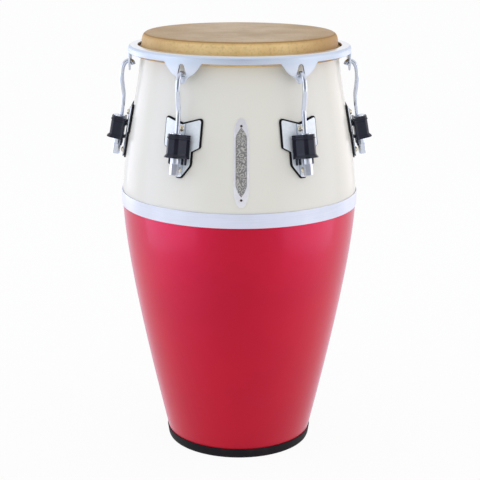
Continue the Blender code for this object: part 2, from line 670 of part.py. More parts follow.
def make_casing_mesh(black):
    """The lug casing: a tapered body with a bead near its top, a flared lip, two arms to the plate and two legs."""
    bead_foot = CASING_BEAD_TOP + CASING_BEAD_HEIGHT
    flare = CASING_HEIGHT - CASING_FLARE_HEIGHT
    levels = ((0.0, 0.0), (CASING_BEAD_TOP, 0.0),
              (CASING_BEAD_TOP + CASING_BEAD_PROUD, CASING_BEAD_PROUD),
              (bead_foot - CASING_BEAD_PROUD, CASING_BEAD_PROUD), (bead_foot, 0.0), (flare, 0.0),
              (CASING_HEIGHT - CASING_LIP_HEIGHT, CASING_FLARE_PROUD), (CASING_HEIGHT, CASING_FLARE_PROUD))
    foot = CASING_HEIGHT + LEG_LENGTH
    back = max(plate_face(depth) for depth in (0.0, CASING_HEIGHT / 2, CASING_HEIGHT, foot)) + CASING_BACK_GAP
    bm = bmesh.new()
    rings = [[bm.verts.new((out, across, -depth)) for out, across in casing_ring(grow, back)]
             for depth, grow in levels]
    for ring, after in zip(rings, rings[1:]):
        for k in range(len(ring)):
            following = (k + 1) % len(ring)
            bm.faces.new((ring[k], ring[following], after[following], after[k]))
    bm.faces.new(rings[0])
    bm.faces.new(rings[-1][::-1])
    root = back + CASING_BACK_GAP / 2
    for low, high in (UPPER_ARM_SPAN, LOWER_ARM_SPAN):
        outline = [(plate_face(low), -low), (root, -low), (root, -high), (plate_face(high), -high)]
        arm = prism(outline, lambda a, b: (a, -ARM_HALF_WIDTH, b), lambda a, b: (a, ARM_HALF_WIDTH, b))
        bm = combined(bm, arm, "UNION")
    for side in (-1, 1):
        outline = [(back, side * LEG_INNER), (back + LEG_THICKNESS, side * LEG_INNER),
                   (back + LEG_THICKNESS, side * LEG_OUTER), (back, side * LEG_OUTER)]
        leg = prism(outline, lambda a, b: (a, b, -foot), lambda a, b: (a, b, -CASING_HEIGHT + LEG_THICKNESS))
        bm = combined(bm, leg, "UNION")
    bore = cylinder(BUSH_SLEEVE_RADIUS + CLEAR, -2 * CASING_HEIGHT, CASING_HEIGHT, HOOK_SIDES)
    return finish_mesh("lug_casing", combined(bm, bore, "DIFFERENCE"), black)


def plate_columns(border, channel):
    """Return the shield outline of plate or gasket as columns, grown by a border, with or without a channel."""
    wide = PLATE_HALF_WIDTH + border
    waist = PLATE_WAIST_HALF_WIDTH + border
    corner = PLATE_CORNER + border
    lower = ((0.0, PLATE_TIP), (PLATE_TIP_HALF_WIDTH, PLATE_TIP + PLATE_CORNER / 2),
             (waist, PLATE_WAIST_FOOT), (waist + PLATE_CORNER / 4, PLATE_STEP),
             (wide - corner, PLATE_SIDE_FOOT - corner / 4), (wide, PLATE_SIDE_FOOT + corner / 2))

    def low_at(across):
        for (start, low), (end, high) in zip(lower, lower[1:]):
            if across <= end:
                return low + (high - low) * (across - start) / (end - start)
        return lower[-1][1]

    def high_at(across):
        top = PLATE_NOTCH + (PLATE_SHOULDER - PLATE_NOTCH) * across / (wide - corner)
        return top if across <= wide - corner else PLATE_SHOULDER - corner * 0.8

    stations = {across: 0.0 for across, _ in lower}
    if channel:
        stations[0.0] = CHANNEL_PROUD
        stations[PLATE_TIP_HALF_WIDTH] = CHANNEL_PROUD
        stations[CHANNEL_HALF_WIDTH] = CHANNEL_PROUD
        stations[CHANNEL_HALF_WIDTH + CHANNEL_SLOPE] = 0.0
    half = [(across, low_at(across) - border, high_at(across) + border, proud)
            for across, proud in sorted(stations.items())]
    return [(-across, low, high, proud) for across, low, high, proud in half[:0:-1]] + half


def make_plate_meshes(chrome, rubber):
    """The shield-shaped lug plate and the rubber gasket that shows round it, both drilled for bolts."""
    meshes = []
    for name, border, channel, inner, outer, material in (
            ("lug_plate", 0.0, True, PLATE_INNER_OFFSET, PLATE_OUTER_OFFSET, chrome),
            ("plate_gasket", GASKET_BORDER, False, CLEAR, CLEAR + GASKET_THICKNESS, rubber)):
        bm = curved_sheet(plate_columns(border, channel), inner, outer, 2)
        drills = [(cylinder(BOLT_HOLE_RADIUS, -SHELL_WALL, SHELL_WALL, BOLT_SIDES),
                   azimuth_frame(0.0).inverted() @ surface_frame(0.0, height, 0.0)) for _, height in BOLT_HEIGHTS]
        meshes.append(finish_mesh(name, combined(bm, merged(drills), "DIFFERENCE"), material))
    return meshes


def make_bolt_mesh(height, chrome):
    """A domed bolt through plate, gasket and shell, with its nut done up inside."""
    steep = math.cos(math.atan(shell_slope(height)))
    seat = (PLATE_OUTER_OFFSET + CHANNEL_PROUD) * steep + CLEAR
    nut_face = -(seat + SHELL_WALL * steep + BOLT_SEAT_GAP)
    profile = [(0.0, BOLT_HEAD_HEIGHT), (BOLT_HEAD_RADIUS * 0.72, BOLT_HEAD_HEIGHT * 0.72), (BOLT_HEAD_RADIUS, 0.0),
               (BOLT_SHANK_RADIUS, 0.0), (BOLT_SHANK_RADIUS, nut_face), (BOLT_NUT_RADIUS, nut_face),
               (BOLT_NUT_RADIUS, nut_face - BOLT_NUT_HEIGHT), (0.0, nut_face - BOLT_NUT_HEIGHT)]
    mesh = finish_mesh("bolt", lathe(profile, on_axis=True, segments=BOLT_SIDES), chrome, crisp=40)
    return mesh, seat


def make_lugs(chrome, black, rubber):
    """Everything that belongs to the lugs: one mesh for each kind of piece, placed at every lug."""
    turning = (("tuning_hook", make_hook_mesh(chrome)), ("tuning_nut", make_nut_mesh(chrome)),
               ("lug_bush", make_bush_mesh(chrome)), ("lug_casing", make_casing_mesh(black)))
    plate, gasket = make_plate_meshes(chrome, rubber)
    bolts = [(side, height, *make_bolt_mesh(height, chrome)) for side, height in BOLT_HEIGHTS]
    for number, azimuth in lug_azimuths():
        for name, mesh in turning:
            place("%s_%d" % (name, number), mesh, axis_frame(azimuth))
        place("lug_plate_%d" % number, plate, azimuth_frame(azimuth))
        place("plate_gasket_%d" % number, gasket, azimuth_frame(azimuth))
        for side, height, mesh, seat in bolts:
            place("%s_bolt_%d" % (side, number), mesh, surface_frame(azimuth, height, seat))


def main():
    clear_scene()
    chrome = make_material("chrome", (0.80, 0.82, 0.85), 0.12, 1.0)
    polished = make_material("polished steel", (0.74, 0.77, 0.82), 0.28, 1.0)
    steel = make_material("plain steel", (0.45, 0.45, 0.46), 0.45, 1.0)
    white = make_material("ivory lacquer", (0.78, 0.77, 0.73), 0.15)
    red = make_material("red lacquer", (0.50, 0.02, 0.035), 0.20)
    skin = make_material("hide", (0.62, 0.50, 0.34), 0.60)
    rubber = make_material("black rubber", (0.02, 0.02, 0.02), 0.70)
    black = make_material("black moulding", (0.04, 0.04, 0.045), 0.45)
    pewter = make_material("pewter", (0.55, 0.56, 0.58), 0.35, 1.0)
    make_shell(white, red)
    make_head(skin, steel)
    make_rim(polished)
    make_band(polished)
    make_foot_ring(rubber)
    make_badge(pewter, steel)
    make_lugs(chrome, black, rubber)


main()
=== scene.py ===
# %% [markdown]
# A tumba is the widest of the conga drums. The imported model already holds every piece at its
# real size and place. This lesson dresses it: each step makes one finish, or one finer mesh
# that stands for a plain solid, and leaves the solids themselves as they are.

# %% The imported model
import json
import math

import bmesh
import bpy
from mathutils import Matrix, Vector


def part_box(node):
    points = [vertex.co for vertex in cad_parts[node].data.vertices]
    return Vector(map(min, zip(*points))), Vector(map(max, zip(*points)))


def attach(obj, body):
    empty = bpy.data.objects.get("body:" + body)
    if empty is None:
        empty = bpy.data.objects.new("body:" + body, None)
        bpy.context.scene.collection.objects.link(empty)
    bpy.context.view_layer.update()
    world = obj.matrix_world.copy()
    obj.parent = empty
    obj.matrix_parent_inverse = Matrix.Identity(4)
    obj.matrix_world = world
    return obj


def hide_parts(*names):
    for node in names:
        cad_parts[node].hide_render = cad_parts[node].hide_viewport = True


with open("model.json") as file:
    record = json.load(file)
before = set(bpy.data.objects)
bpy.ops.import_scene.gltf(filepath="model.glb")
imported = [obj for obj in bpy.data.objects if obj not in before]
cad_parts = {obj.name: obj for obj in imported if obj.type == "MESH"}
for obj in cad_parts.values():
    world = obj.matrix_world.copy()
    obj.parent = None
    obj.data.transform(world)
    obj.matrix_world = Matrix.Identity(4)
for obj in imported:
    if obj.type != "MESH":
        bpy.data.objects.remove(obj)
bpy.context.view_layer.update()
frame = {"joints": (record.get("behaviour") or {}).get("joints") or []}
joints = {joint["name"]: joint for joint in frame["joints"]}

# %% [markdown]
# A long lens a little above the drum keeps its sides nearly parallel. The camera's place was
# worked out from the ellipses of the head, the band and the foot. Blender's shift moves the
# picture a hair sideways, as a cropped photograph would.

# %% The camera
PHOTO_SIDE = 480
FOCAL_PIXELS = 1291
AXIS_PIXEL = 239.1
SENSOR_WIDTH = 36.0
CAMERA_DISTANCE = 2.121
CAMERA_HEIGHT = 0.915
CAMERA_AZIMUTH = math.radians(-0.9)
CAMERA_PITCH = math.radians(15.01)
CAMERA_ROLL = math.radians(0.20)

camera_data = bpy.data.cameras.new("camera")
camera_data.sensor_width = SENSOR_WIDTH
camera_data.lens = SENSOR_WIDTH * FOCAL_PIXELS / PHOTO_SIDE
camera_data.shift_x = (PHOTO_SIDE / 2 - AXIS_PIXEL) / PHOTO_SIDE
camera = bpy.data.objects.new("camera", camera_data)
bpy.context.scene.collection.objects.link(camera)
turn = Matrix.Rotation(CAMERA_AZIMUTH, 4, "Z")
tilt = Matrix.Rotation(math.pi / 2 - CAMERA_PITCH, 4, "X")
roll = Matrix.Rotation(CAMERA_ROLL, 4, "Z")
camera.matrix_world = turn @ Matrix.Translation((0, -CAMERA_DISTANCE, CAMERA_HEIGHT)) @ tilt @ roll
bpy.context.scene.camera = camera
print("lens", round(camera_data.lens, 1), "mm")

# %% [markdown]
# A material is a graph of nodes, and plain Python can write one. The class below wraps a
# socket, so that 1 - mask or noise * 0.2 adds the Math node that works it out.


# %% Sockets that can be added and multiplied
class Wire:
    """A socket of a shader graph that arithmetic turns into Math nodes."""

    def __init__(self, graph, socket):
        self.graph = graph
        self.socket = socket

    def maths(self, operation, other=0.0, swap=False):
        values = [other, self] if swap else [self, other]
        return self.graph.node("ShaderNodeMath", {"operation": operation}, dict(enumerate(values)))

    def __add__(self, other):
        return self.maths("ADD", other)

    __radd__ = __add__

    def __mul__(self, other):
        return self.maths("MULTIPLY", other)

    __rmul__ = __mul__

    def __sub__(self, other):
        return self.maths("SUBTRACT", other)

    def __rsub__(self, other):
        return self.maths("SUBTRACT", other, swap=True)

    def __abs__(self):
        return self.maths("ABSOLUTE")


print("Wire understands + - * and abs")

# %% [markdown]
# One method makes every node: its type, its settings, then the values or links of its
# sockets. Colours and vectors keep to their own nodes, Mix and Vector Math, because a Math
# node would turn a colour grey.


# %% Graphs and materials
class Graph:
    """A tree of shader nodes."""

    def __init__(self, tree):
        self.tree = tree

    def feed(self, socket, value):
        if isinstance(value, Wire):
            self.tree.links.new(value.socket, socket)
        elif isinstance(value, tuple) and len(value) == 3 and socket.type == "RGBA":
            socket.default_value = (*value, 1.0)
        else:
            socket.default_value = value

    def node(self, kind, settings=None, inputs=None, output=0):
        made = self.tree.nodes.new(kind)
        for name, value in (settings or {}).items():
            if name == "stops":
                ramp = made.color_ramp.elements
                for index, (position, colour) in enumerate(value):
                    stop = ramp[index] if index < 2 else ramp.new(position)
                    stop.position = position
                    stop.color = (*colour, 1.0)
            else:
                setattr(made, name, value)
        for name, value in (inputs or {}).items():
            self.feed(made.inputs[name], value)
        return Wire(self, made.outputs[output])

    def mix(self, factor, first, second):
        """Return a colour that goes from the first to the second as the factor goes from 0 to 1."""
        return self.node("ShaderNodeMix", {"data_type": "RGBA"}, {0: factor, 6: first, 7: second}, 2)

    def smooth(self, value, low, high):
        """Return 0 where the value is low and 1 where it is high, with a soft step between."""
        return self.node("ShaderNodeMapRange", {"interpolation_type": "SMOOTHSTEP"}, {0: value, 1: low, 2: high})


class Finish(Graph):
    """A material and its Principled BSDF. The values given are the same all over the surface."""

    def __init__(self, name, **values):
        self.material = bpy.data.materials.new(name)
        self.material.use_nodes = True
        super().__init__(self.material.node_tree)
        self.bsdf = self.tree.nodes["Principled BSDF"]
        for socket, value in values.items():
            self.set(socket.replace("_", " "), value)

    def set(self, name, value):
        self.feed(self.bsdf.inputs[name], value)

    def place(self, *stretch):
        """Return the object's own coordinates, each multiplied by a number if three are given."""
        where = self.node("ShaderNodeTexCoord", output="Object")
        if not stretch:
            return where
        return self.node("ShaderNodeVectorMath", {"operation": "MULTIPLY"}, {0: where, 1: stretch})

    def noise(self, where, scale=1.0, detail=3.0):
        return self.node("ShaderNodeTexNoise", inputs={"Vector": where, "Scale": scale, "Detail": detail})

    def relief(self, height, depth, strength=1.0):
        """Let a height pattern catch the light, as if it stood this many metres deep."""
        inputs = {"Strength": strength, "Distance": depth, "Height": height}
        self.set("Normal", self.node("ShaderNodeBump", inputs=inputs))


def paint(red, green, blue):
    """Turn a colour as a screen shows it, 0 to 255, into the linear one that a shader mixes."""
    return tuple(((value / 255 + 0.055) / 1.055) ** 2.4 for value in (red, green, blue))


print("mid grey is", round(paint(128, 128, 128)[0], 3), "in linear light")

# %% [markdown]
# Product photographs are lit softly from both sides, with a darker room behind the camera.
# The darker part matters: polished metal is only as interesting as what it mirrors. The left
# side is a little cooler than the right, as a window is. Rays from the camera see plain
# white, so the background stays clean.

# %% The studio
LEFT_LIGHT = (0.83, 0.86, 1.0)
RIGHT_LIGHT = (0.88, 0.87, 0.88)
FRONT_LIGHT = (0.87, 0.87, 0.85)
FRONT_MIRRORED = (0.50, 0.52, 0.57)
FLOOR_WHITE = 0.94
FLOOR_COLOUR = (0.80, 0.80, 0.79)
WHITE = (1.0, 1.0, 1.0)

world = bpy.data.worlds.new("studio")
world.use_nodes = True
studio = Graph(world.node_tree)
direction = studio.node("ShaderNodeTexCoord", output="Generated")
toward_right = studio.node("ShaderNodeSeparateXYZ", inputs={"Vector": direction}, output="X")
toward_front = 0.0 - studio.node("ShaderNodeSeparateXYZ", inputs={"Vector": direction}, output="Y")
camera_ray = studio.node("ShaderNodeLightPath", output="Is Camera Ray")
glossy_ray = studio.node("ShaderNodeLightPath", output="Is Glossy Ray")
sides = studio.mix(studio.smooth(toward_right, -0.8, 0.8), LEFT_LIGHT, RIGHT_LIGHT)
lit = studio.mix(studio.smooth(toward_front, 0.2, 0.9), sides, FRONT_LIGHT)
mirrored = studio.mix(studio.smooth(toward_front, 0.35, 0.85), WHITE, FRONT_MIRRORED)
seen = studio.mix(camera_ray, studio.mix(glossy_ray, lit, mirrored), WHITE)
studio.feed(world.node_tree.nodes["Background"].inputs["Color"], seen)
bpy.context.scene.world = world
bpy.context.scene.view_settings.view_transform = "Standard"
print("left light", LEFT_LIGHT, "front light", FRONT_LIGHT)

# %% [markdown]
# The floor is a wide sheet. Most of what the camera sees of it is plain white, mixed with a
# share of ordinary diffuse floor, which keeps the drum's soft shadow.

# %% The floor
FLOOR_HALF = 30.0
floor_data = bpy.data.meshes.new("floor")
floor_corners = [(FLOOR_HALF * a, FLOOR_HALF * b, 0.0) for a, b in ((-1, -1), (1, -1), (1, 1), (-1, 1))]
floor_data.from_pydata(floor_corners, [], [(0, 1, 2, 3)])
floor = bpy.data.objects.new("floor", floor_data)
bpy.context.scene.collection.objects.link(floor)
pale = Finish("pale floor", Roughness=0.9, Base_Color=FLOOR_COLOUR)
plain_white = pale.node("ShaderNodeEmission", inputs={"Color": WHITE})
path = pale.node("ShaderNodeLightPath", output="Is Camera Ray")
mirrored_path = pale.node("ShaderNodeLightPath", output="Is Glossy Ray")
share = path.maths("MAXIMUM", mirrored_path) * FLOOR_WHITE
sheet = Wire(pale, pale.bsdf.outputs[0])
shown = pale.node("ShaderNodeMixShader", inputs={0: share, 1: sheet, 2: plain_white})
pale.feed(pale.tree.nodes["Material Output"].inputs["Surface"], shown)
floor_data.materials.append(pale.material)
print("floor", 2 * FLOOR_HALF, "m wide")

# %% [markdown]
# Polished metal needs something dark to mirror, or it looks like paint. A photographer hangs
# a narrow dark card under the camera. This one is seen only in reflections, and gives each
# rod its dark line. It ends above the steel band, which still mirrors the bright floor.

# %% The dark card
CARD_HALF_WIDTH = 0.22
CARD_FOOT = 0.48
CARD_TOP = 1.4
CARD_DISTANCE = 1.25
CARD_COLOUR = (0.05, 0.05, 0.07)
card_data = bpy.data.meshes.new("dark card")
card_corners = [(-CARD_HALF_WIDTH, CARD_FOOT), (CARD_HALF_WIDTH, CARD_FOOT), (CARD_HALF_WIDTH, CARD_TOP),
                (-CARD_HALF_WIDTH, CARD_TOP)]
card_data.from_pydata([(across, -CARD_DISTANCE, up) for across, up in card_corners], [], [(0, 1, 2, 3)])
card_data.materials.append(Finish("dark card", Base_Color=CARD_COLOUR, Roughness=1.0).material)
card = bpy.data.objects.new("dark card", card_data)
bpy.context.scene.collection.objects.link(card)
for ray in ("camera", "diffuse", "transmission", "volume_scatter", "shadow"):
    setattr(card, "visible_" + ray, False)
print("dark card", 2 * CARD_HALF_WIDTH, "m wide")

# %% [markdown]
# Two soft lamps at the sides round the forms, and two weaker ones further back light the
# drum's edges. They are wide and weak, so no colour is pushed past what is written. Gloss
# lacquer needs more than that to look glossy: a studio stands a
# tall lit panel close by on each side, only to be mirrored. The panels here light nothing.
# They are seen in the lacquer alone, so the metals near them don't turn white.


# %% The lamps
def soft_lamp(name, azimuth, distance, height, size, power, colour=(1.0, 1.0, 1.0)):
    """Add an area lamp that faces the drum's axis. Azimuth is measured from the front towards +X."""
    data = bpy.data.lights.new(name, "AREA")
    data.shape = "RECTANGLE"
    data.size, data.size_y = size
    data.energy = power
    data.color = colour
    lamp = bpy.data.objects.new(name, data)
    lamp.location = (distance * math.sin(azimuth), -distance * math.cos(azimuth), height)
    aim = Vector((0, 0, height)) - lamp.location
    lamp.rotation_euler = aim.to_track_quat("-Z", "Y").to_euler()
    lamp.visible_camera = False
    bpy.context.scene.collection.objects.link(lamp)
    return lamp


LAMP_AZIMUTH = math.radians(74)
EDGE_AZIMUTH = math.radians(128)
PANEL_AZIMUTH = math.radians(68)
PANEL_SIZE = (1.0, 1.2)
glossy_pieces = bpy.data.collections.new("pieces that mirror the panels")
# Each side's lamp, edge lamp and panel: power and colour
LEFT_LAMPS = ((5.5, (0.80, 0.86, 1.0)), (5.6, (0.86, 0.84, 1.0)), (15.5, (0.62, 0.63, 1.0)))
RIGHT_LAMPS = ((4.6, (1.0, 0.95, 0.98)), (3.6, (1.0, 0.88, 1.0)), (13.0, (0.69, 0.67, 1.0)))
for name, side, (plain, edge, tall) in (("left", -1, LEFT_LAMPS), ("right", 1, RIGHT_LAMPS)):
    soft_lamp(name + " lamp", side * LAMP_AZIMUTH, 2.2, 0.9, (1.1, 1.1), *plain)
    soft_lamp(name + " edge lamp", side * EDGE_AZIMUTH, 2.2, 0.5, (1.1, 0.9), *edge)
    panel = soft_lamp(name + " panel", side * PANEL_AZIMUTH, 0.9, 0.61, PANEL_SIZE, *tall)
    panel.visible_diffuse = False
    panel.light_linking.receiver_collection = glossy_pieces
print("lamps at", round(math.degrees(LAMP_AZIMUTH)), "degrees, panels at", round(math.degrees(PANEL_AZIMUTH)))

# %% [markdown]
# Most of a drum is turned, so the first thing to know is the shell's outline. Two cubic
# curves meet at the belly, where the drum is widest. The belly, the foot and the drum's
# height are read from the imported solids, and the shapes of the curves are named here.

# %% The shell's outline
CLEAR = 0.0003
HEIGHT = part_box("head_skin")[1].z
BEARING_EDGE_RADIUS = 0.15875
BELLY_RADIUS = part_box("shell")[1].x
BELLY_HEIGHT = HEIGHT - 0.2690
FOOT_RADIUS = 0.1190
SHELL_WALL = 0.012
SHELL_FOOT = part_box("shell")[0].z
SHELL_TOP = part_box("shell")[1].z
FOOT_FLARE = math.radians(13.28)
FOOT_HANDLE = 0.3225
BELLY_HANDLE_BELOW = 0.0254
BELLY_HANDLE_ABOVE = 0.0701
TOP_LEAN = math.radians(3.15)
TOP_HANDLE = 0.0842
LOWER_CURVE = ((FOOT_RADIUS, 0.0), (FOOT_RADIUS + math.tan(FOOT_FLARE) * FOOT_HANDLE, FOOT_HANDLE),
               (BELLY_RADIUS, BELLY_HEIGHT - BELLY_HANDLE_BELOW), (BELLY_RADIUS, BELLY_HEIGHT))
UPPER_CURVE = ((BELLY_RADIUS, BELLY_HEIGHT), (BELLY_RADIUS, BELLY_HEIGHT + BELLY_HANDLE_ABOVE),
               (BEARING_EDGE_RADIUS + math.tan(TOP_LEAN) * TOP_HANDLE, SHELL_TOP - TOP_HANDLE),
               (BEARING_EDGE_RADIUS, SHELL_TOP))


def bezier(points, share):
    """Return the point of a cubic curve at a share of its way."""
    left = 1.0 - share
    weights = (left ** 3, 3 * left ** 2 * share, 3 * left * share ** 2, share ** 3)
    return tuple(sum(weight * point[axis] for weight, point in zip(weights, points)) for axis in (0, 1))


def shell_radius(height):
    """Return the shell's outer radius at a height, found by halving."""
    curve = LOWER_CURVE if height < BELLY_HEIGHT else UPPER_CURVE
    low, high = 0.0, 1.0
    for _ in range(40):
        middle = (low + high) / 2
        if bezier(curve, middle)[1] < height:
            low = middle
        else:
            high = middle
    return bezier(curve, low)[0]


def shell_slope(height, step=0.002):
    """Return how fast the shell narrows with height."""
    return (shell_radius(height - step) - shell_radius(height + step)) / (2 * step)


print("belly", round(2000 * BELLY_RADIUS), "mm, foot", round(2000 * FOOT_RADIUS), "mm")

# %% [markdown]
# Every finer piece goes the same way: its mesh becomes an object, it rides on a body of the
# model, and the plain solid that it stands for is hidden. Weighted normals keep flat faces
# flat right up to a rounded edge, which is what makes an edge catch the light cleanly.


# %% Adding a piece
def mesh_of(name, bm, *finishes, crisp=40):
    """Turn a bmesh into a mesh with outward faces, smooth except at sharp edges."""
    bmesh.ops.recalc_face_normals(bm, faces=bm.faces)
    mesh = bpy.data.meshes.new(name)
    bm.to_mesh(mesh)
    bm.free()
    for finish in finishes:
        mesh.materials.append(finish.material)
    mesh.shade_smooth()
    mesh.set_sharp_from_angle(angle=math.radians(crisp))
    return mesh


def dress(node, mesh, body="drum", matrix=None):
    """Stand a finer mesh in for a CAD node. A matrix places a copy of the mesh."""
    if matrix is not None:
        mesh = mesh.copy()
        mesh.transform(matrix)
    piece = bpy.data.objects.new(node + "_fine", mesh)
    bpy.context.scene.collection.objects.link(piece)
    weighted = piece.modifiers.new("Weighted Normal", "WEIGHTED_NORMAL")
    weighted.keep_sharp = True
    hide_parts(node)
    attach(piece, body)
    return piece


# %% [markdown]
# A lathe spins an outline round the drum's axis. Arcs and rounded corners in the outline
# become the soft edges of the turned piece.

# %% Turned shapes
TURNED_STEPS = 180


def lathe(profile, on_axis=False, steps=TURNED_STEPS):
    """Spin a profile of (radius, height) points round Z. It is a closed loop unless it ends on the axis."""
    bm = bmesh.new()
    points = [bm.verts.new((radius, 0.0, height)) for radius, height in profile]
    edges = [bm.edges.new(pair) for pair in zip(points, points[1:])]
    if not on_axis:
        edges.append(bm.edges.new((points[-1], points[0])))
    bmesh.ops.spin(bm, geom=points + edges, cent=(0, 0, 0), axis=(0, 0, 1),
                   angle=math.tau, steps=steps, use_merge=True)
    bmesh.ops.remove_doubles(bm, verts=bm.verts, dist=1e-6)
    return bm


def arc(centre, radius, start, end, steps):
    """Return points along an arc."""
    return [(centre[0] + radius * math.cos(start + (end - start) * k / steps),
             centre[1] + radius * math.sin(start + (end - start) * k / steps)) for k in range(steps + 1)]


def rounded(corners, steps=5):
    """Return an outline whose corners, each (a, b, radius), are rounded."""
    outline = []
    for index, (a, b, radius) in enumerate(corners):
        corner = Vector((a, b))
        before = Vector(corners[index - 1][:2]) - corner
        after = Vector(corners[(index + 1) % len(corners)][:2]) - corner
        if radius == 0:
            outline.append((a, b))
            continue
        reach = radius / math.tan(before.angle(after) / 2)
        start = corner + before.normalized() * min(reach, before.length * 0.49)
        end = corner + after.normalized() * min(reach, after.length * 0.49)
        for k in range(steps + 1):
            share = k / steps
            outline.append(tuple(start.lerp(corner, share).lerp(corner.lerp(end, share), share)))
    return outline


def thickened(path, half):
    """Return both sides of an open path, moved apart by half a thickness each way, as one loop."""
    sides = ([], [])
    for index, (radius, height) in enumerate(path):
        before = path[max(index - 1, 0)]
        after = path[min(index + 1, len(path) - 1)]
        along = Vector((after[0] - before[0], after[1] - before[1])).normalized()
        sides[0].append((radius + along.y * half, height - along.x * half))
        sides[1].append((radius - along.y * half, height + along.x * half))
    return sides[0] + sides[1][::-1]


print("a ring has", TURNED_STEPS, "steps")

# %% [markdown]
# The lacquer is sprayed in coats and polished, so it is smooth to the hand, with only a faint
# ripple in its reflections. A coat layer gives the clear gloss, and the colour below it
# clouds a little. The red is a candy colour: fine metal flake under clear red. Its sides turn
# a bright pink where they mirror the panels, because the flake's own gloss is tinted.


# %% The lacquers
def lacquer(name, colour, clouded, roughness, **values):
    """Return a gloss lacquer whose colour clouds a little from place to place."""
    made = Finish(name, Coat_Roughness=0.16, **values)
    where = made.place()
    clouds = made.noise(where, 7.0, 4.0)
    made.set("Base Color", made.mix(made.smooth(clouds, 0.35, 0.7), colour, clouded))
    made.set("Roughness", roughness + 0.06 * made.noise(where, 60.0))
    made.set("Coat Weight", 0.90 + 0.10 * clouds)
    made.relief(made.noise(where, 140.0, 2.0), 0.00006, 0.5)
    return made


IVORY = (0.84, 0.83, 0.755)
IVORY_CLOUDED = (0.82, 0.81, 0.735)
RED = (0.52, 0.005, 0.002)
RED_CLOUDED = (0.48, 0.004, 0.002)
PINK_FLAKE = (1.0, 0.08, 0.44)
ivory = lacquer("ivory lacquer", IVORY, IVORY_CLOUDED, 0.30, Specular_IOR_Level=0.06, Coat_IOR=1.11)
red = lacquer("red lacquer", RED, RED_CLOUDED, 0.48, Specular_IOR_Level=1.0, Specular_Tint=PINK_FLAKE,
              Metallic=0.08, Coat_IOR=1.16, Sheen_Weight=0.44, Sheen_Roughness=0.30, Sheen_Tint=(1.0, 0.46, 0.80))
print("lacquers", ivory.material.name, red.material.name)

# %% [markdown]
# Inside, the drum shows what it is made of: tapering staves glued edge to edge, each cut
# from its own plank. The angle round the axis says which stave a point is on, and a random
# number for each stave shifts its tone. The grain is noise stretched along the height.

# %% Stave wood
STAVES = 14
WOOD_PALE = (0.46, 0.30, 0.16)
WOOD_DEEP = (0.30, 0.18, 0.09)
GLUE_LINE = (0.12, 0.07, 0.04)
GLUE_SHARE = 0.985

wood = Finish("stave wood", Coat_Weight=0.0)
spot = wood.place()
east = wood.node("ShaderNodeSeparateXYZ", inputs={"Vector": spot}, output="X")
north = wood.node("ShaderNodeSeparateXYZ", inputs={"Vector": spot}, output="Y")
stave = east.maths("ARCTAN2", north) * (STAVES / math.tau)
tone = wood.node("ShaderNodeTexWhiteNoise", {"noise_dimensions": "1D"}, {"W": stave.maths("FLOOR")})
grain = wood.noise(wood.place(70.0, 70.0, 3.0), 1.0, 6.0)
plank = wood.mix(wood.smooth(tone * 0.4 + grain * 0.6, 0.2, 0.8), WOOD_DEEP, WOOD_PALE)
edge = abs(stave.maths("FRACT") * 2.0 - 1.0)
wood.set("Base Color", wood.mix(wood.smooth(edge, GLUE_SHARE - 0.006, GLUE_SHARE), plank, GLUE_LINE))
wood.set("Roughness", 0.55 + 0.2 * grain)
wood.relief(grain, 0.0003, 0.6)
print("staves", STAVES)

# %% [markdown]
# The shell could be one spun outline with one material. It has three here, one for each
# finish, given to its faces by where they lie: ivory above the band, red below it, bare wood
# inside. Under the skin the shell is turned in to a rounded shoulder, so the collar is
# narrower than the shell below it.

# %% The shell
CREASE_RADIUS = 0.0070
SKIN_THICKNESS = 0.0025
SKIN_MIDDLE = HEIGHT - SKIN_THICKNESS / 2
SHELL_RINGS = 90
BEARING_CHAMFER = 0.0035
SHOULDER = 0.0024
SHOULDER_FOOT = 0.0301
CROWN = 0.0024
CROWN_FOOT = 0.0130
FOOT_EDGE = 0.0012
band_low, band_high = (corner.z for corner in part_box("belly_band"))
BAND_MIDDLE = (band_low + band_high) / 2


def eased(value, low, high):
    """Return 0 where a value is low and 1 where it is high, with a soft step between."""
    share = min(max((value - low) / (high - low), 0.0), 1.0)
    return share * share * (3 - 2 * share)


def drawn_in(height):
    """Return how far the shell's shoulder, and the skin over it, is turned in from the plain outline."""
    shoulder = SHOULDER * eased(height, HEIGHT - SHOULDER_FOOT, HEIGHT - SHOULDER_FOOT + 0.011)
    return shoulder + CROWN * max(0.0, 1 - (HEIGHT - height) / CROWN_FOOT) ** 1.4


def shell_profile():
    """Return the shell's outline: up the outside, over the bearing edge and down the inside."""
    edge_round = CREASE_RADIUS - SKIN_THICKNESS / 2 - CLEAR
    edge_centre = (BEARING_EDGE_RADIUS - edge_round, SKIN_MIDDLE - CREASE_RADIUS)
    heights = [SHELL_FOOT + FOOT_EDGE + (edge_centre[1] - SHELL_FOOT - FOOT_EDGE) * k / SHELL_RINGS
               for k in range(SHELL_RINGS + 1)]
    outer = [(shell_radius(height), height) for height in heights]
    inner = [(radius - SHELL_WALL, height) for radius, height in outer[::-1]]
    bearing = arc(edge_centre, edge_round, 0.0, math.pi / 2, 8)[1:]
    bevel = (bearing[-1][0] - BEARING_CHAMFER, SHELL_TOP)
    foot = [(inner[-1][0] + FOOT_EDGE, SHELL_FOOT), (outer[0][0] - FOOT_EDGE, SHELL_FOOT)]
    return [(radius - drawn_in(height), height) for radius, height in outer + bearing + [bevel] + inner + foot]


shell_mesh = mesh_of("shell", lathe(shell_profile()), ivory, red, wood)
for face in shell_mesh.polygons:
    radius = math.hypot(face.center.x, face.center.y)
    inside = radius < shell_radius(face.center.z) - drawn_in(face.center.z) - SHELL_WALL / 2
    face.material_index = 2 if inside else int(face.center.z < BAND_MIDDLE)
glossy_pieces.objects.link(dress("shell", shell_mesh))
print("shell faces", len(shell_mesh.polygons))

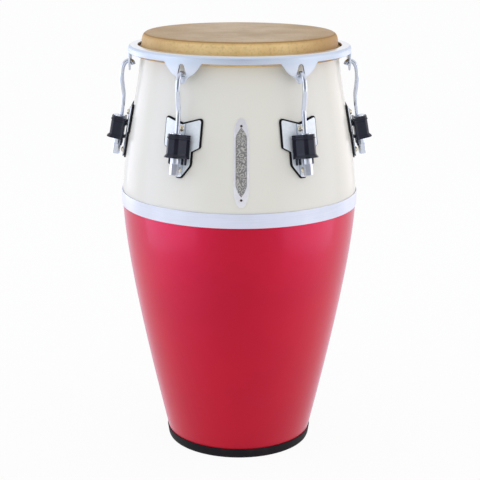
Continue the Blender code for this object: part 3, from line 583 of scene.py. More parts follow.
# %% [markdown]
# The head is rawhide: soaked, drawn over the bearing edge and wrapped round a steel hoop.
# On the playing surface its fibres run one way and the skin looks pink and dry. Where it
# turns down it is thick, golden and half see-through, and a dark crease marks the edge.

# %% Rawhide
HIDE_TOP = paint(203, 180, 148)
HIDE_TOP_DARK = paint(174, 148, 114)
# Painted shade for the left and right ends of the head's top
HIDE_TOP_SIDE_SHADE = paint(176, 142, 98)
HIDE_COLLAR = paint(240, 209, 148)
HIDE_COLLAR_DARK = paint(200, 160, 94)
HIDE_COLLAR_SHADE = paint(180, 138, 84)
HIDE_CREASE = paint(150, 112, 46)
HIDE_FLECK = paint(146, 108, 62)
# How far below the head's top the crease starts and ends
CREASE_TOP = 0.0010
CREASE_FOOT = 0.0034

hide = Finish("rawhide", Subsurface_Weight=0.06, Subsurface_Scale=0.004)
spot = hide.place()
fibres = hide.noise(hide.place(14.0, 420.0, 60.0), 1.0, 8.0)
blotches = hide.noise(spot, 16.0, 4.0)
flat = hide.mix(hide.smooth(0.4 * fibres + 0.6 * blotches, 0.36, 0.62), HIDE_TOP_DARK, HIDE_TOP)
level = hide.node("ShaderNodeSeparateXYZ", inputs={"Vector": spot}, output="Z")
below = HEIGHT - level
# Painted light and shade: the collar is painted lighter a few millimetres below the top and darker again lower down;
# the blotches are the hide's own tone
lit_part = hide.smooth(below, 0.0025, 0.0070) * (1.0 - 0.3 * hide.smooth(below, 0.014, 0.026))
collar_blotches_and_light = (0.55 + 0.45 * hide.smooth(blotches, 0.3, 0.7)) * lit_part
sideways = hide.node("ShaderNodeSeparateXYZ", inputs={"Vector": spot}, output="X")
# Painted shade: both ends of the collar are darkened, the right one more
right_end_shade = hide.smooth(sideways, 0.05, 0.16)
left_end_shade = hide.smooth(0.0 - sideways, 0.05, 0.16)
# Painted shade: the top is darker towards its left and right ends
flat = hide.mix(0.6 * hide.smooth(abs(sideways), 0.03, 0.14), flat, HIDE_TOP_SIDE_SHADE)
golden = hide.mix(collar_blotches_and_light, HIDE_COLLAR_DARK, HIDE_COLLAR)
collar = hide.mix(0.9 * right_end_shade + 0.45 * left_end_shade, golden, HIDE_COLLAR_SHADE)
turned_down = hide.smooth(below, CREASE_TOP, CREASE_FOOT)
crease = hide.smooth(below, CREASE_TOP, 0.0018) * (1.0 - hide.smooth(below, 0.0024, CREASE_FOOT))
flecks = hide.smooth(hide.noise(spot, 240.0, 5.0), 0.46, 0.74)
face = hide.mix(0.24 * flecks, hide.mix(turned_down, flat, collar), HIDE_FLECK)
hide.set("Base Color", hide.mix(crease * 0.85, face, HIDE_CREASE))
hide.set("Roughness", 0.52 + 0.2 * fibres)
hide.relief(fibres * 0.7 + hide.noise(spot, 300.0) * 0.3, 0.0003, 0.5)
print("crease", round(1000 * (CREASE_FOOT - CREASE_TOP), 1), "mm high")

# %% [markdown]
# The skin is a sheet of even thickness along a path: flat across the top, round the bearing
# edge, down the collar and round the hoop. Thickening the path both ways gives the outline
# to spin. A few low waves in the flat part are what a hand-stretched skin has.

# %% The skin and its hoop
HOOP_LEVEL = HEIGHT - 0.0301
HOOP_BAR_RADIUS = 0.0040
TUCK_ANGLE = math.radians(60)
FLAT_RINGS = 24
WAVE_DEPTH = 0.00035
WAVES = 5


def collar_radius(height):
    """Return the radius of the middle of the skin's collar before it is drawn in over the shoulder."""
    return shell_radius(height) + CLEAR + SKIN_THICKNESS / 2


crease_centre = (collar_radius(SKIN_MIDDLE - CREASE_RADIUS) - CREASE_RADIUS, SKIN_MIDDLE - CREASE_RADIUS)
wrap = HOOP_BAR_RADIUS + CLEAR + SKIN_THICKNESS / 2
hoop_radius = collar_radius(HOOP_LEVEL) + wrap
skin_path = [(crease_centre[0] * k / FLAT_RINGS, SKIN_MIDDLE) for k in range(FLAT_RINGS)]
skin_path += arc(crease_centre, CREASE_RADIUS, math.pi / 2, 0.0, 10)
collar_levels = [crease_centre[1] + (HOOP_LEVEL - crease_centre[1]) * k / 12 for k in range(1, 12)]
skin_path += [(collar_radius(height), height) for height in collar_levels]
skin_path = [(max(radius - drawn_in(height), 0.0), height) for radius, height in skin_path]
skin_path += arc((hoop_radius, HOOP_LEVEL), wrap, math.pi, math.tau + TUCK_ANGLE, 24)
skin_outline = thickened(skin_path, SKIN_THICKNESS / 2)
skin_bm = lathe(skin_outline, on_axis=True)
for vert in skin_bm.verts:
    out = math.hypot(vert.co.x, vert.co.y)
    if vert.co.z > HEIGHT - 2 * SKIN_THICKNESS and out < crease_centre[0]:
        swell = math.sin(math.pi * out / crease_centre[0]) ** 2
        bearing = math.atan2(vert.co.y, vert.co.x)
        vert.co.z -= WAVE_DEPTH * swell * (0.5 + 0.5 * math.sin(WAVES * bearing + 9 * out / crease_centre[0]))
dress("head_skin", mesh_of("head_skin", skin_bm, hide, crisp=60), "head")
print("hoop radius", round(1000 * hoop_radius, 1), "mm")

# %% [markdown]
# The metals are one recipe with different numbers: a light base colour, full metallic, a low
# roughness that wanders a little like a wiped surface, and, on the brushed ones, fine lines
# that run round the drum. Chrome is the smoothest and the bluest.


# %% Metals
def metal(name, colour, roughness, wander, stretch, depth, **values):
    """Return a metal whose roughness and relief follow a stretched noise."""
    made = Finish(name, **{"Metallic": 1.0, **values})
    lines = made.noise(made.place(*stretch), 1.0, 5.0)
    wiped = made.noise(made.place(), 28.0, 3.0)
    dull = tuple(channel * 0.90 for channel in colour)
    made.set("Base Color", made.mix(made.smooth(lines * 0.6 + wiped * 0.4, 0.3, 0.7), dull, colour))
    made.set("Roughness", roughness - wander / 2 + wander * wiped)
    made.relief(lines, depth, 0.6)
    return made


EVEN_GRAIN = (220.0, 220.0, 220.0)
ROUND_THE_DRUM = (16.0, 16.0, 1500.0)
chrome = metal("chrome", (0.64, 0.68, 0.78), 0.13, 0.06, EVEN_GRAIN, 0.00001)
pressed_chrome = metal("pressed chrome", (0.88, 0.94, 1.0), 0.46, 0.10, EVEN_GRAIN, 0.00002, Metallic=0.36)
# Painted shade: a darker copy of the pressed chrome for the flanks of the plates' channel
channel_flank_shade_steel = metal("fold shade", (0.36, 0.43, 0.54), 0.46, 0.10, EVEN_GRAIN, 0.00002, Metallic=0.45)
rim_steel = metal("rim steel", (0.58, 0.66, 0.80), 0.46, 0.10, ROUND_THE_DRUM, 0.00002, Metallic=0.62)
# Painted light: the ears, which lean out from under the roll, are given a lighter base colour
ear_level = rim_steel.node("ShaderNodeSeparateXYZ", inputs={"Vector": rim_steel.place()}, output="Z")
ear_painted_light = rim_steel.smooth(HEIGHT - ear_level, 0.030, 0.046)
rim_steel.set("Base Color", rim_steel.mix(ear_painted_light, (0.62, 0.70, 0.83), (0.72, 0.77, 0.87)))
# Painted highlight: the roll's top is a smoother copy of the rim steel, painted much lighter
rim_roll_smooth_and_lit = metal("rim roll, smoother and painted lighter", (0.88, 0.90, 0.95), 0.30, 0.10, ROUND_THE_DRUM, 0.00002)
# Painted shade: a dark steel for the walls of the rim's slots and the plates' edges
edge_shade_steel = metal("painted edge shade", (0.16, 0.17, 0.19), 0.45, 0.15, EVEN_GRAIN, 0.00003)
band_steel = metal("brushed band", (0.77, 0.81, 0.96), 0.34, 0.10, ROUND_THE_DRUM, 0.00004)
nut_steel = metal("plated nut", (0.74, 0.78, 0.88), 0.34, 0.10, EVEN_GRAIN, 0.00002)
plain_steel = metal("plain steel", (0.42, 0.40, 0.38), 0.42, 0.15, EVEN_GRAIN, 0.00004)
# Painted reflection: the bolts' metal is tinted warm for the brownish light that their domes mirror
warm_tinted_bolt_metal = metal("warm-tinted bolt metal", (0.80, 0.73, 0.58), 0.16, 0.10, EVEN_GRAIN, 0.00002)
dark_pin = metal("dark pin", (0.10, 0.075, 0.075), 0.35, 0.15, EVEN_GRAIN, 0.00003)
print("metals", 11)

# %% [markdown]
# The hoop inside the wrapped skin is a plain round bar, welded into a ring. Only its lower
# side can be seen, where the skin's edge ends.

# %% The flesh hoop
ring = arc((hoop_radius, HOOP_LEVEL), HOOP_BAR_RADIUS, 0.0, math.tau, 16)[:-1]
dress("flesh_hoop", mesh_of("flesh_hoop", lathe(ring), plain_steel), "head")
print("hoop bar", 2000 * HOOP_BAR_RADIUS, "mm")

# %% [markdown]
# The rim, the lug plates, their gaskets and the badge are all cut from flat sheet and then
# bent. They are made that way here: an outline is given its thickness, its edges are
# rounded, it is cut in strips so that it can bend, and each corner is moved to its place on
# the bent sheet. A seam is left open where a half will meet its mirror image.


# %% Flat blanks
def blank(outline, low, high, edge, cuts_across=(), cuts_up=(), seams=()):
    """Return a blank with rounded edges, in (across, up, out), cut so that it can bend."""
    bm = bmesh.new()
    loops = [[bm.verts.new((a, b, out)) for a, b in outline] for out in (low, high)]
    bm.faces.new(loops[0][::-1])
    bm.faces.new(loops[1])
    for index in range(len(outline)):
        after = (index + 1) % len(outline)
        bm.faces.new((loops[0][index], loops[0][after], loops[1][after], loops[1][index]))
    bmesh.ops.recalc_face_normals(bm, faces=bm.faces)

    def on_seam(parts):
        return any(all(abs(vert.co.x - seam) < 1e-7 for vert in parts) for seam in seams)

    outer = [item for item in bm.edges if item.verts[0].co.z == item.verts[1].co.z and not on_seam(item.verts)]
    bmesh.ops.bevel(bm, geom=outer, offset=edge, segments=3, profile=0.5, affect="EDGES", clamp_overlap=True)
    for normal, cuts in ((Vector((1, 0, 0)), cuts_across), (Vector((0, 1, 0)), cuts_up)):
        for cut in cuts:
            geometry = bm.verts[:] + bm.edges[:] + bm.faces[:]
            bmesh.ops.bisect_plane(bm, geom=geometry, plane_co=normal * cut, plane_no=normal)
    caps = [face for face in bm.faces if on_seam(face.verts)]
    bmesh.ops.delete(bm, geom=caps, context="FACES")
    bmesh.ops.triangulate(bm, faces=[face for face in bm.faces if len(face.verts) > 4])
    return bm


def bent(flat, bends):
    """Return one bmesh with a copy of a flat blank for each bend, which turns (across, up, out) into a place."""
    bm = bmesh.new()
    flat.verts.index_update()
    for bend in bends:
        verts = [bm.verts.new(bend(*vert.co)) for vert in flat.verts]
        for face in flat.faces:
            bm.faces.new([verts[vert.index] for vert in face.verts]).material_index = face.material_index
    flat.free()
    bmesh.ops.remove_doubles(bm, verts=bm.verts, dist=2e-6)
    return bm


def spread(low, high, count):
    """Return places that cut a span into equal strips."""
    return [low + (high - low) * k / count for k in range(1, count)]


print("blanks are cut, edged and bent")

# %% [markdown]
# The rim is a steel strip, rolled inward at the top over the wrapped skin. At each hook it
# hangs down in an ear with a pear-shaped slot. Both the ear and the slot are mirror images
# of themselves, so half an ear is enough for the whole rim: twelve bent copies close the ring.

# %% The rim's outline
RIM_RADIUS = BEARING_EDGE_RADIUS + 0.02325
RIM_THICKNESS = 0.0030
RIM_LOWER_EDGE = HEIGHT - 0.0323
RIM_BEND_RADIUS = 0.0045
RIM_BEND_ANGLE = math.radians(87)
RIM_BEND_LEVEL = HEIGHT - 0.0261
RIM_INNER_RADIUS = BEARING_EDGE_RADIUS + 0.00775
RIM_EDGE_ROUND = 0.0011
LUG_COUNT = 6
FIRST_LUG_AZIMUTH = math.radians(30)
EAR_HALF_WIDTH = 0.0345
EAR_DROP = 0.0317
# Each point is a share of the ear's half width and of its drop
EAR_OUTLINE = ((0.0, 1.0), (0.11, 0.965), (0.18, 0.88), (0.24, 0.77), (0.34, 0.67), (0.50, 0.57),
               (0.62, 0.47), (0.80, 0.25), (0.90, 0.10), (1.0, 0.0), (1.2, 0.0))
SLOT_TOP_RADIUS = 0.0046
SLOT_TOP_MARGIN = 0.0020
SLOT_FOOT_HALF_WIDTH = 0.0080
SLOT_FOOT_ROUND = 0.0050
HOOK_SEAT_DROP = 0.0520
HOOK_SEAT_PLAY = 0.0009


def curve_through(points, steps):
    """Return a smooth line through points, with a number of steps between each two."""
    points = [Vector(point) for point in points]
    line = []
    for index in range(len(points) - 1):
        here, there = points[index], points[index + 1]
        before = points[max(index - 1, 0)]
        beyond = points[min(index + 2, len(points) - 1)]
        for k in range(steps):
            share = k / steps
            line.append(0.5 * (2 * here + (there - before) * share
                               + (2 * before - 5 * here + 4 * there - beyond) * share ** 2
                               + (3 * here - before - 3 * there + beyond) * share ** 3))
    return line + [points[-1]]


def half_ear_outline(half_pitch, top):
    """Return the outline of half an ear and its stretch of rim, across and up from the rim's lower edge."""
    floor = RIM_LOWER_EDGE - HEIGHT + HOOK_SEAT_DROP + HOOK_SEAT_PLAY
    slot_top = arc((0.0, -SLOT_TOP_MARGIN - SLOT_TOP_RADIUS), SLOT_TOP_RADIUS, 0.0, math.pi / 2, 8)
    slot = rounded([(0.0, -floor, 0), (SLOT_FOOT_HALF_WIDTH, -floor, SLOT_FOOT_ROUND)]
                   + [(across, up, 0) for across, up in slot_top])
    both = [(-across, drop) for across, drop in EAR_OUTLINE[:0:-1]] + list(EAR_OUTLINE)
    ear = [point for point in curve_through(both, 5) if -1e-9 < point.x < 1.0]
    hem = [(point.x * EAR_HALF_WIDTH, -point.y * EAR_DROP) for point in ear]
    return hem + [(EAR_HALF_WIDTH, 0.0), (half_pitch, 0.0), (half_pitch, top), (0.0, top)] + slot[::-1]


def rim_place(rise, out):
    """Return the radius and height of a point on the rolled strip, from its rise along the sheet."""
    centre = RIM_RADIUS - RIM_THICKNESS / 2
    straight = RIM_BEND_LEVEL - RIM_LOWER_EDGE
    turned = min(max((rise - straight) / RIM_BEND_RADIUS, 0.0), RIM_BEND_ANGLE)
    beyond = max(rise - straight - RIM_BEND_RADIUS * RIM_BEND_ANGLE, 0.0)
    radius = centre - RIM_BEND_RADIUS * (1 - math.cos(turned)) - beyond * math.sin(turned)
    height = RIM_LOWER_EDGE + min(rise, straight) + RIM_BEND_RADIUS * math.sin(turned) + beyond * math.cos(turned)
    return radius + out * math.cos(turned), height + out * math.sin(turned)


RIM_STRAIGHT = RIM_BEND_LEVEL - RIM_LOWER_EDGE
RIM_ROLL = RIM_BEND_RADIUS * RIM_BEND_ANGLE
roll_reach = RIM_RADIUS - RIM_THICKNESS / 2 - RIM_BEND_RADIUS * (1 - math.cos(RIM_BEND_ANGLE)) - RIM_INNER_RADIUS
RIM_TOP = RIM_STRAIGHT + RIM_ROLL + roll_reach / math.sin(RIM_BEND_ANGLE)
HALF_PITCH = math.pi / LUG_COUNT * RIM_RADIUS
print("the strip is", round(1000 * RIM_TOP, 1), "mm high before it is rolled")

# %% The rim


def lug_azimuths():
    """Return each lug's number and azimuth, from the front towards +X."""
    return [(k + 1, FIRST_LUG_AZIMUTH + math.tau * k / LUG_COUNT) for k in range(LUG_COUNT)]


def rim_bend(azimuth, side):
    """Return the bend that lays half an ear on the rim at an azimuth, to its right or left."""
    def bend(across, rise, out):
        angle = azimuth + side * across / RIM_RADIUS
        radius, height = rim_place(rise, out)
        return radius * math.sin(angle), -radius * math.cos(angle), height
    return bend


rim_cuts_up = [0.0] + spread(RIM_STRAIGHT - RIM_ROLL / 8, RIM_STRAIGHT + RIM_ROLL * 9 / 8, 10)
half_ear = blank(half_ear_outline(HALF_PITCH, RIM_TOP), -RIM_THICKNESS / 2, RIM_THICKNESS / 2, RIM_EDGE_ROUND,
                 spread(0.0, HALF_PITCH, 16), rim_cuts_up, (0.0, HALF_PITCH))
for face in half_ear.faces:
    middle = face.calc_center_median()
    in_slot = -0.7 * EAR_DROP < middle.y < -SLOT_TOP_MARGIN and middle.x < SLOT_FOOT_HALF_WIDTH + RIM_EDGE_ROUND
    # The roll's top takes the lighter copy, a painted highlight
    if middle.y > RIM_STRAIGHT + 0.75 * RIM_ROLL:
        face.material_index = 1
    # Painted shade: the slot's walls take the dark steel
    elif in_slot and abs(face.normal.z) < 0.5:
        face.material_index = 2
rim_bm = bent(half_ear, [rim_bend(azimuth, side) for _, azimuth in lug_azimuths() for side in (-1, 1)])
dress("rim", mesh_of("rim", rim_bm, rim_steel, rim_roll_smooth_and_lit, edge_shade_steel, crisp=50), "head")
print("ears", LUG_COUNT)

# %% [markdown]
# The belly band is a strip of brushed steel sprung round the widest part, over the line where
# the two lacquers meet. Its edges are rolled over a little, so each shows as a thin bright
# line.

# %% The belly band
BAND_EDGE = 0.0005
band_inner = BELLY_RADIUS + CLEAR
band_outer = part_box("belly_band")[1].x - 0.00001
band_corners = ((band_outer, band_high), (band_outer, band_low), (band_inner, band_low), (band_inner, band_high))
band_profile = rounded([(radius, height, BAND_EDGE) for radius, height in band_corners], 4)
dress("belly_band", mesh_of("belly_band", lathe(band_profile), band_steel))
print("band", round(1000 * (band_high - band_low), 1), "mm high")

# %% [markdown]
# The foot stands in a ring of soft black rubber. Rubber is matt, a little dusty, and a touch
# lighter where it is scuffed, so its colour and roughness both follow a coarse noise.

# %% Rubber and moulding
COOL_GLOSS = (0.74, 0.80, 1.0)


def dark_finish(name, dark, light, roughness, grain, depth, gloss):
    """Return a black finish with lighter scuffs and a fine grain."""
    made = Finish(name, Specular_IOR_Level=gloss, Specular_Tint=COOL_GLOSS)
    scuffs = made.noise(made.place(), 45.0, 5.0)
    fine = made.noise(made.place(), grain, 2.0)
    made.set("Base Color", made.mix(made.smooth(scuffs, 0.45, 0.8), dark, light))
    made.set("Roughness", roughness + 0.15 * scuffs)
    made.relief(fine, depth, 0.5)
    return made


rubber = dark_finish("black rubber", (0.010, 0.008, 0.009), (0.022, 0.018, 0.019), 0.55, 900.0, 0.00008, 0.15)
moulding = dark_finish("black moulding", (0.006, 0.006, 0.012), (0.012, 0.012, 0.021), 0.24, 1200.0, 0.00004, 0.42)
print("dark finishes", 2)

# %% The foot ring
FOOT_RING_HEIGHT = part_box("foot_ring")[1].z
FOOT_RING_FLOOR = 0.0030
LIP_WALL = 0.0013
FOOT_WALL = 0.0032
ring_seat = shell_radius(SHELL_FOOT) + CLEAR
ring_inner = shell_radius(SHELL_FOOT) - SHELL_WALL + CLEAR
lip_radius = shell_radius(FOOT_RING_HEIGHT) + CLEAR
foot_corners = [(lip_radius + LIP_WALL, FOOT_RING_HEIGHT, 0.0009), (FOOT_RADIUS + CLEAR + FOOT_WALL, 0.0035, 0.004),
                (FOOT_RADIUS + FOOT_WALL - 0.0012, 0.0, 0.0012), (ring_inner, 0.0, 0.0010),
                (ring_inner, FOOT_RING_FLOOR, 0.0006), (ring_seat, FOOT_RING_FLOOR, 0),
                (lip_radius, FOOT_RING_HEIGHT, 0.0002)]
dress("foot_ring", mesh_of("foot_ring", lathe(rounded(foot_corners, 4)), rubber))
print("foot ring", round(1000 * FOOT_RING_HEIGHT, 1), "mm high")

# %% [markdown]
# The badge is a pointed strip of pewter at the drum's front, with a bright raised border
# round an engraved field. The field gets plain scrolls, as such strips have. It is drawn as
# its own small plate let into the border, so that the step between them is real.

# %% Places on the shell


def azimuth_frame(azimuth):
    """Return the frame at the drum's axis whose X points out at an azimuth, and whose Y points across."""
    outward = Vector((math.sin(azimuth), -math.cos(azimuth), 0.0))
    across = Vector((math.cos(azimuth), math.sin(azimuth), 0.0))
    return Matrix((outward, across, Vector((0, 0, 1)))).transposed().to_4x4()


def surface_frame(azimuth, height, offset):
    """Return a frame that stands on the shell's surface, with Z along its normal, moved out by an offset."""
    tip = math.atan(shell_slope(height))
    stand = Matrix.Translation((shell_radius(height), 0, height)) @ Matrix.Rotation(math.pi / 2 - tip, 4, "Y")
    return azimuth_frame(azimuth) @ stand @ Matrix.Translation((0, 0, offset))


def on_shell(across, height, offset):
    """Return a point at an arc distance across and a height, out from the shell's surface by an offset."""
    radius = shell_radius(height)
    angle = across / radius
    return (radius + offset) * math.cos(angle), (radius + offset) * math.sin(angle), height


print("front of the shell at mid badge", round(shell_radius(0.517), 4))

# %% Pewter
FIELD_LIGHT = (0.78, 0.78, 0.73)
FIELD_MIDDLE = (0.34, 0.335, 0.325)
FIELD_DARK = (0.20, 0.195, 0.20)
SCROLL_SCALE = 150.0
SCROLL_LINES = 4.0
FIELD_EDGE = 0.0084
pewter = metal("pewter border", (0.95, 0.95, 1.0), 0.34, 0.10, EVEN_GRAIN, 0.00002, Metallic=0.35)

field = Finish("engraved field", Metallic=0.45)
spot = field.place()
side = abs(field.node("ShaderNodeSeparateXYZ", inputs={"Vector": spot}, output="X"))
hills = field.noise(spot, SCROLL_SCALE, 0.0)
scrolls = field.smooth((hills * (math.tau * SCROLL_LINES)).maths("SINE"), 0.0, 0.9)
stipple = field.noise(spot, 700.0, 3.0)
ground = field.mix(field.smooth(stipple, 0.35, 0.65), FIELD_DARK, FIELD_MIDDLE)
engraved = field.mix(scrolls * 0.6, ground, FIELD_LIGHT)
# Painted shade: the field is darkened along its sides, under the border's step
shade = field.smooth(side, FIELD_EDGE - 0.0014, FIELD_EDGE)
field.set("Base Color", field.mix(shade * 0.8, engraved, FIELD_DARK))
field.set("Roughness", 0.60 - 0.2 * scrolls)
field.relief(scrolls + 0.3 * stipple, 0.0003, 0.8)
print("scroll lines", SCROLL_LINES)

# %% The badge
BADGE_THICKNESS = 0.0010
BADGE_HALF_WIDTH = 0.0114
BADGE_LOWER, BADGE_UPPER = (corner.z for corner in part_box("badge_plate"))
BADGE_MIDDLE = (BADGE_LOWER + BADGE_UPPER) / 2
BADGE_HALF_LENGTH = (BADGE_UPPER - BADGE_LOWER) / 2
BADGE_TIP = 0.0260
BADGE_EDGE = 0.00045
BORDER = 0.0028
FIELD_SUNK = 0.0004
# How far in from the badge's ends the field starts, how long each point is, and how full
FIELD_TOP_INSET = 0.0139
FIELD_TOP_POINT = 0.0175
FIELD_FOOT_INSET = 0.0163
FIELD_FOOT_POINT = 0.0205
FIELD_FULLNESS = 1.9


def flank(half_width, half_length, tip, steps=14):
    """Return the right flank of a boat-shaped outline, from its upper end to its lower one."""
    upper = []
    for k in range(steps + 1):
        angle = math.pi / 2 * k / steps
        upper.append((half_width * math.sin(angle), half_length - tip * (1 - math.cos(angle))))
    return upper + [(across, -up) for across, up in upper[::-1]]


def pointed_flank(half_width, top, top_point, foot, foot_point, steps=12):
    """Return the right flank of an outline that ends in a sharp point at its top and its foot."""
    shares = [k / steps for k in range(steps + 1)]
    widths = [half_width * (1 - (1 - share) ** FIELD_FULLNESS) for share in shares]
    upper = [(across, top - top_point * share) for across, share in zip(widths, shares)]
    lower = [(across, foot + foot_point * share) for across, share in zip(widths, shares)]
    return upper + lower[::-1]


def badge_bend(side):
    """Return the bend that lays half the badge on the shell."""
    return lambda across, up, out: on_shell(side * across, BADGE_MIDDLE + up, CLEAR + out)


outer_flank = flank(BADGE_HALF_WIDTH, BADGE_HALF_LENGTH, BADGE_TIP)
field_flank = pointed_flank(BADGE_HALF_WIDTH - BORDER, BADGE_HALF_LENGTH - FIELD_TOP_INSET, FIELD_TOP_POINT,
                            FIELD_FOOT_INSET - BADGE_HALF_LENGTH, FIELD_FOOT_POINT)
along_badge = spread(-BADGE_HALF_LENGTH, BADGE_HALF_LENGTH, 16)
across_badge = spread(0.0, BADGE_HALF_WIDTH, 4)
border_half = blank(outer_flank + field_flank[::-1], 0.0, BADGE_THICKNESS, BADGE_EDGE, across_badge, along_badge,
                    (0.0,))
border_bm = bent(border_half, [badge_bend(-1), badge_bend(1)])
field_half = blank(field_flank, 0.0, BADGE_THICKNESS - FIELD_SUNK, 0.0001, across_badge, along_badge, (0.0,))
field_bm = bent(field_half, [badge_bend(-1), badge_bend(1)])
for face in field_bm.faces:
    face.material_index = 1
field_part = bpy.data.meshes.new("field")
field_bm.to_mesh(field_part)
field_bm.free()
border_bm.from_mesh(field_part)
dress("badge_plate", mesh_of("badge_plate", border_bm, pewter, field), matrix=azimuth_frame(0.0))
print("badge", round(2000 * BADGE_HALF_LENGTH), "mm long")

# %% [markdown]
# Two small dark pins hold the badge. A round-headed pin is turned: a dome over a short shank.

# %% The badge's pins
PIN_INSET = 0.0120
PIN_RADIUS = 0.0011
PIN_HEAD_RADIUS = 0.0019
PIN_HEAD_HEIGHT = 0.0008
PIN_LENGTH = 0.0080
PIN_STEPS = 24


def dome(radius, height, steps=8):
    """Return the outline of a domed head, from its crown to its edge."""
    return [(radius * math.sin(math.pi / 2 * k / steps), height * math.cos(math.pi / 2 * k / steps))
            for k in range(steps + 1)]


pin_profile = dome(PIN_HEAD_RADIUS, PIN_HEAD_HEIGHT) + [(PIN_RADIUS, 0.0), (PIN_RADIUS, -PIN_LENGTH), (0.0, -PIN_LENGTH)]
pin_mesh = mesh_of("badge_pin", lathe(pin_profile, True, PIN_STEPS), dark_pin)
for name, height in (("badge_pin_upper", BADGE_UPPER - PIN_INSET), ("badge_pin_lower", BADGE_LOWER + PIN_INSET)):
    seat = surface_frame(0.0, height, BADGE_THICKNESS + 2 * CLEAR)
    dress(name, pin_mesh, matrix=seat)
print("pins", 2)

# %% [markdown]
# Each lug is a set of pieces in one upright plane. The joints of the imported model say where
# its bar runs: the nut turns on that axis. A frame on the axis, with its zero at the
# casing's top, is where the casing, the bush, the nut and the hook are all drawn.

# %% The lugs' frames
CASING_HEIGHT = 0.0362
NUT_COLLAR_HEIGHT = 0.0092
NUT_HEX_HEIGHT = 0.0172
NUT_JOINT_DEPTH = CASING_HEIGHT + CLEAR + NUT_COLLAR_HEIGHT + NUT_HEX_HEIGHT / 2


def lug_frame(number):
    """Return the frame on a lug's bar: X out from the drum, Y across, Z up along the bar."""
    spin = joints["nut_%d_spin" % number]
    up = Vector(spin["axis"]).normalized()
    across = Vector((0, 0, 1)).cross(Vector((spin["pos_m"][0], spin["pos_m"][1], 0))).normalized()
    top = Vector(spin["pos_m"]) + up * NUT_JOINT_DEPTH
    return Matrix.Translation(top) @ Matrix((across.cross(up), across, up)).transposed().to_4x4()


first = lug_frame(1)
AXIS_RADIUS = math.hypot(first.translation.x, first.translation.y)
CASING_TOP = first.translation.z
AXIS_TILT = math.acos(first.col[2].z)
print("axis radius", round(AXIS_RADIUS, 4), "casing top", round(CASING_TOP, 4))

# %% [markdown]
# The lug plate is a chromed shield, pressed with a raised channel down its middle, on a
# rubber gasket that shows as a dark line all round it. Both are blanks with rounded corners,
# bent to the shell. The channel is a soft step in how far each point stands out.

# %% The lug plates and gaskets
PLATE_THICKNESS = 0.0015
GASKET_THICKNESS = 0.0025
GASKET_BORDER = 0.0026
PLATE_HALF_WIDTH = 0.0305
PLATE_WAIST_HALF_WIDTH = 0.0178
PLATE_CORNER = 0.0036
# Heights from the casing's top
PLATE_NOTCH = 0.0130
PLATE_SHOULDER = 0.0224
PLATE_SIDE_FOOT = -0.0204
PLATE_STEP = -0.0272
PLATE_WAIST_FOOT = -0.0480
PLATE_TIP = -0.0667
PLATE_TIP_HALF_WIDTH = 0.0040
CHANNEL_HALF_WIDTH = 0.0058
CHANNEL_SLOPE = 0.0014
CHANNEL_PROUD = 0.0012


def shield(border):
    """Return half of the shield's outline, grown by a border, across and up from the casing's top."""
    side = PLATE_HALF_WIDTH + border
    waist = PLATE_WAIST_HALF_WIDTH + border
    corner = PLATE_CORNER + border
    return rounded([(0.0, PLATE_NOTCH + border, 0), (side, PLATE_SHOULDER + border * 1.1, corner),
                    (side, PLATE_SIDE_FOOT - border * 0.3, corner * 0.7), (waist, PLATE_STEP - border * 0.3, 0.003),
                    (waist, PLATE_WAIST_FOOT - border * 0.3, 0.012),
                    (PLATE_TIP_HALF_WIDTH + border * 0.3, PLATE_TIP - border * 0.9, 0.004),
                    (0.0, PLATE_TIP - border, 0)])


def plate_bend(side, offset, proud, thickness):
    """Return the bend that lays half a plate on the shell, with its channel standing proud."""
    def bend(across, up, out):
        share = min(max((CHANNEL_HALF_WIDTH + CHANNEL_SLOPE - across) / CHANNEL_SLOPE, 0.0), 1.0)
        rise = proud * share * share * (3 - 2 * share) * out / thickness
        return on_shell(side * across, CASING_TOP + up, offset + out + rise)
    return bend


def bent_shield(border, offset, thickness, edge, proud):
    """Return the plate's or the gasket's bmesh, in the frame at the drum's axis."""
    across = spread(0.0, PLATE_HALF_WIDTH + border, 8)
    across += [CHANNEL_HALF_WIDTH + CHANNEL_SLOPE * k / 4 for k in range(5)] if proud else []
    up = spread(PLATE_TIP - border, PLATE_SHOULDER + border, 12)
    half = blank(shield(border), 0.0, thickness, edge, across, up, (0.0,))
    half.normal_update()
    for face in half.faces if proud else ():
        # Painted shade: the plate's edges take the dark steel
        if abs(face.normal.z) < 0.5:
            face.material_index = 2
        # Painted shade: the channel's flanks take the darker copy
        elif 0.0 < face.calc_center_median().x - CHANNEL_HALF_WIDTH < CHANNEL_SLOPE * 0.75:
            face.material_index = 1
    return bent(half, [plate_bend(side, offset, proud, thickness) for side in (-1, 1)])


PLATE_FACE = 2 * CLEAR + GASKET_THICKNESS + PLATE_THICKNESS
plate_bm = bent_shield(0.0, 2 * CLEAR + GASKET_THICKNESS, PLATE_THICKNESS, 0.0005, CHANNEL_PROUD)
plate_mesh = mesh_of("lug_plate", plate_bm, pressed_chrome, channel_flank_shade_steel, edge_shade_steel)
gasket_mesh = mesh_of("plate_gasket", bent_shield(GASKET_BORDER, CLEAR, GASKET_THICKNESS, 0.0007, 0.0), rubber)
for number, azimuth in lug_azimuths():
    dress("lug_plate_%d" % number, plate_mesh, matrix=azimuth_frame(azimuth))
    dress("plate_gasket_%d" % number, gasket_mesh, matrix=azimuth_frame(azimuth))
print("plate corners", len(plate_mesh.vertices))

# %% [markdown]
# The casing is a black moulding, narrower at its nose, with a bead near its top and a lip
# that flares outward at its foot. It is drawn as its plan, repeated at many depths: a small
# table of depths says how far each ring stands proud, and another how far it is drawn in
# where an edge is rounded.

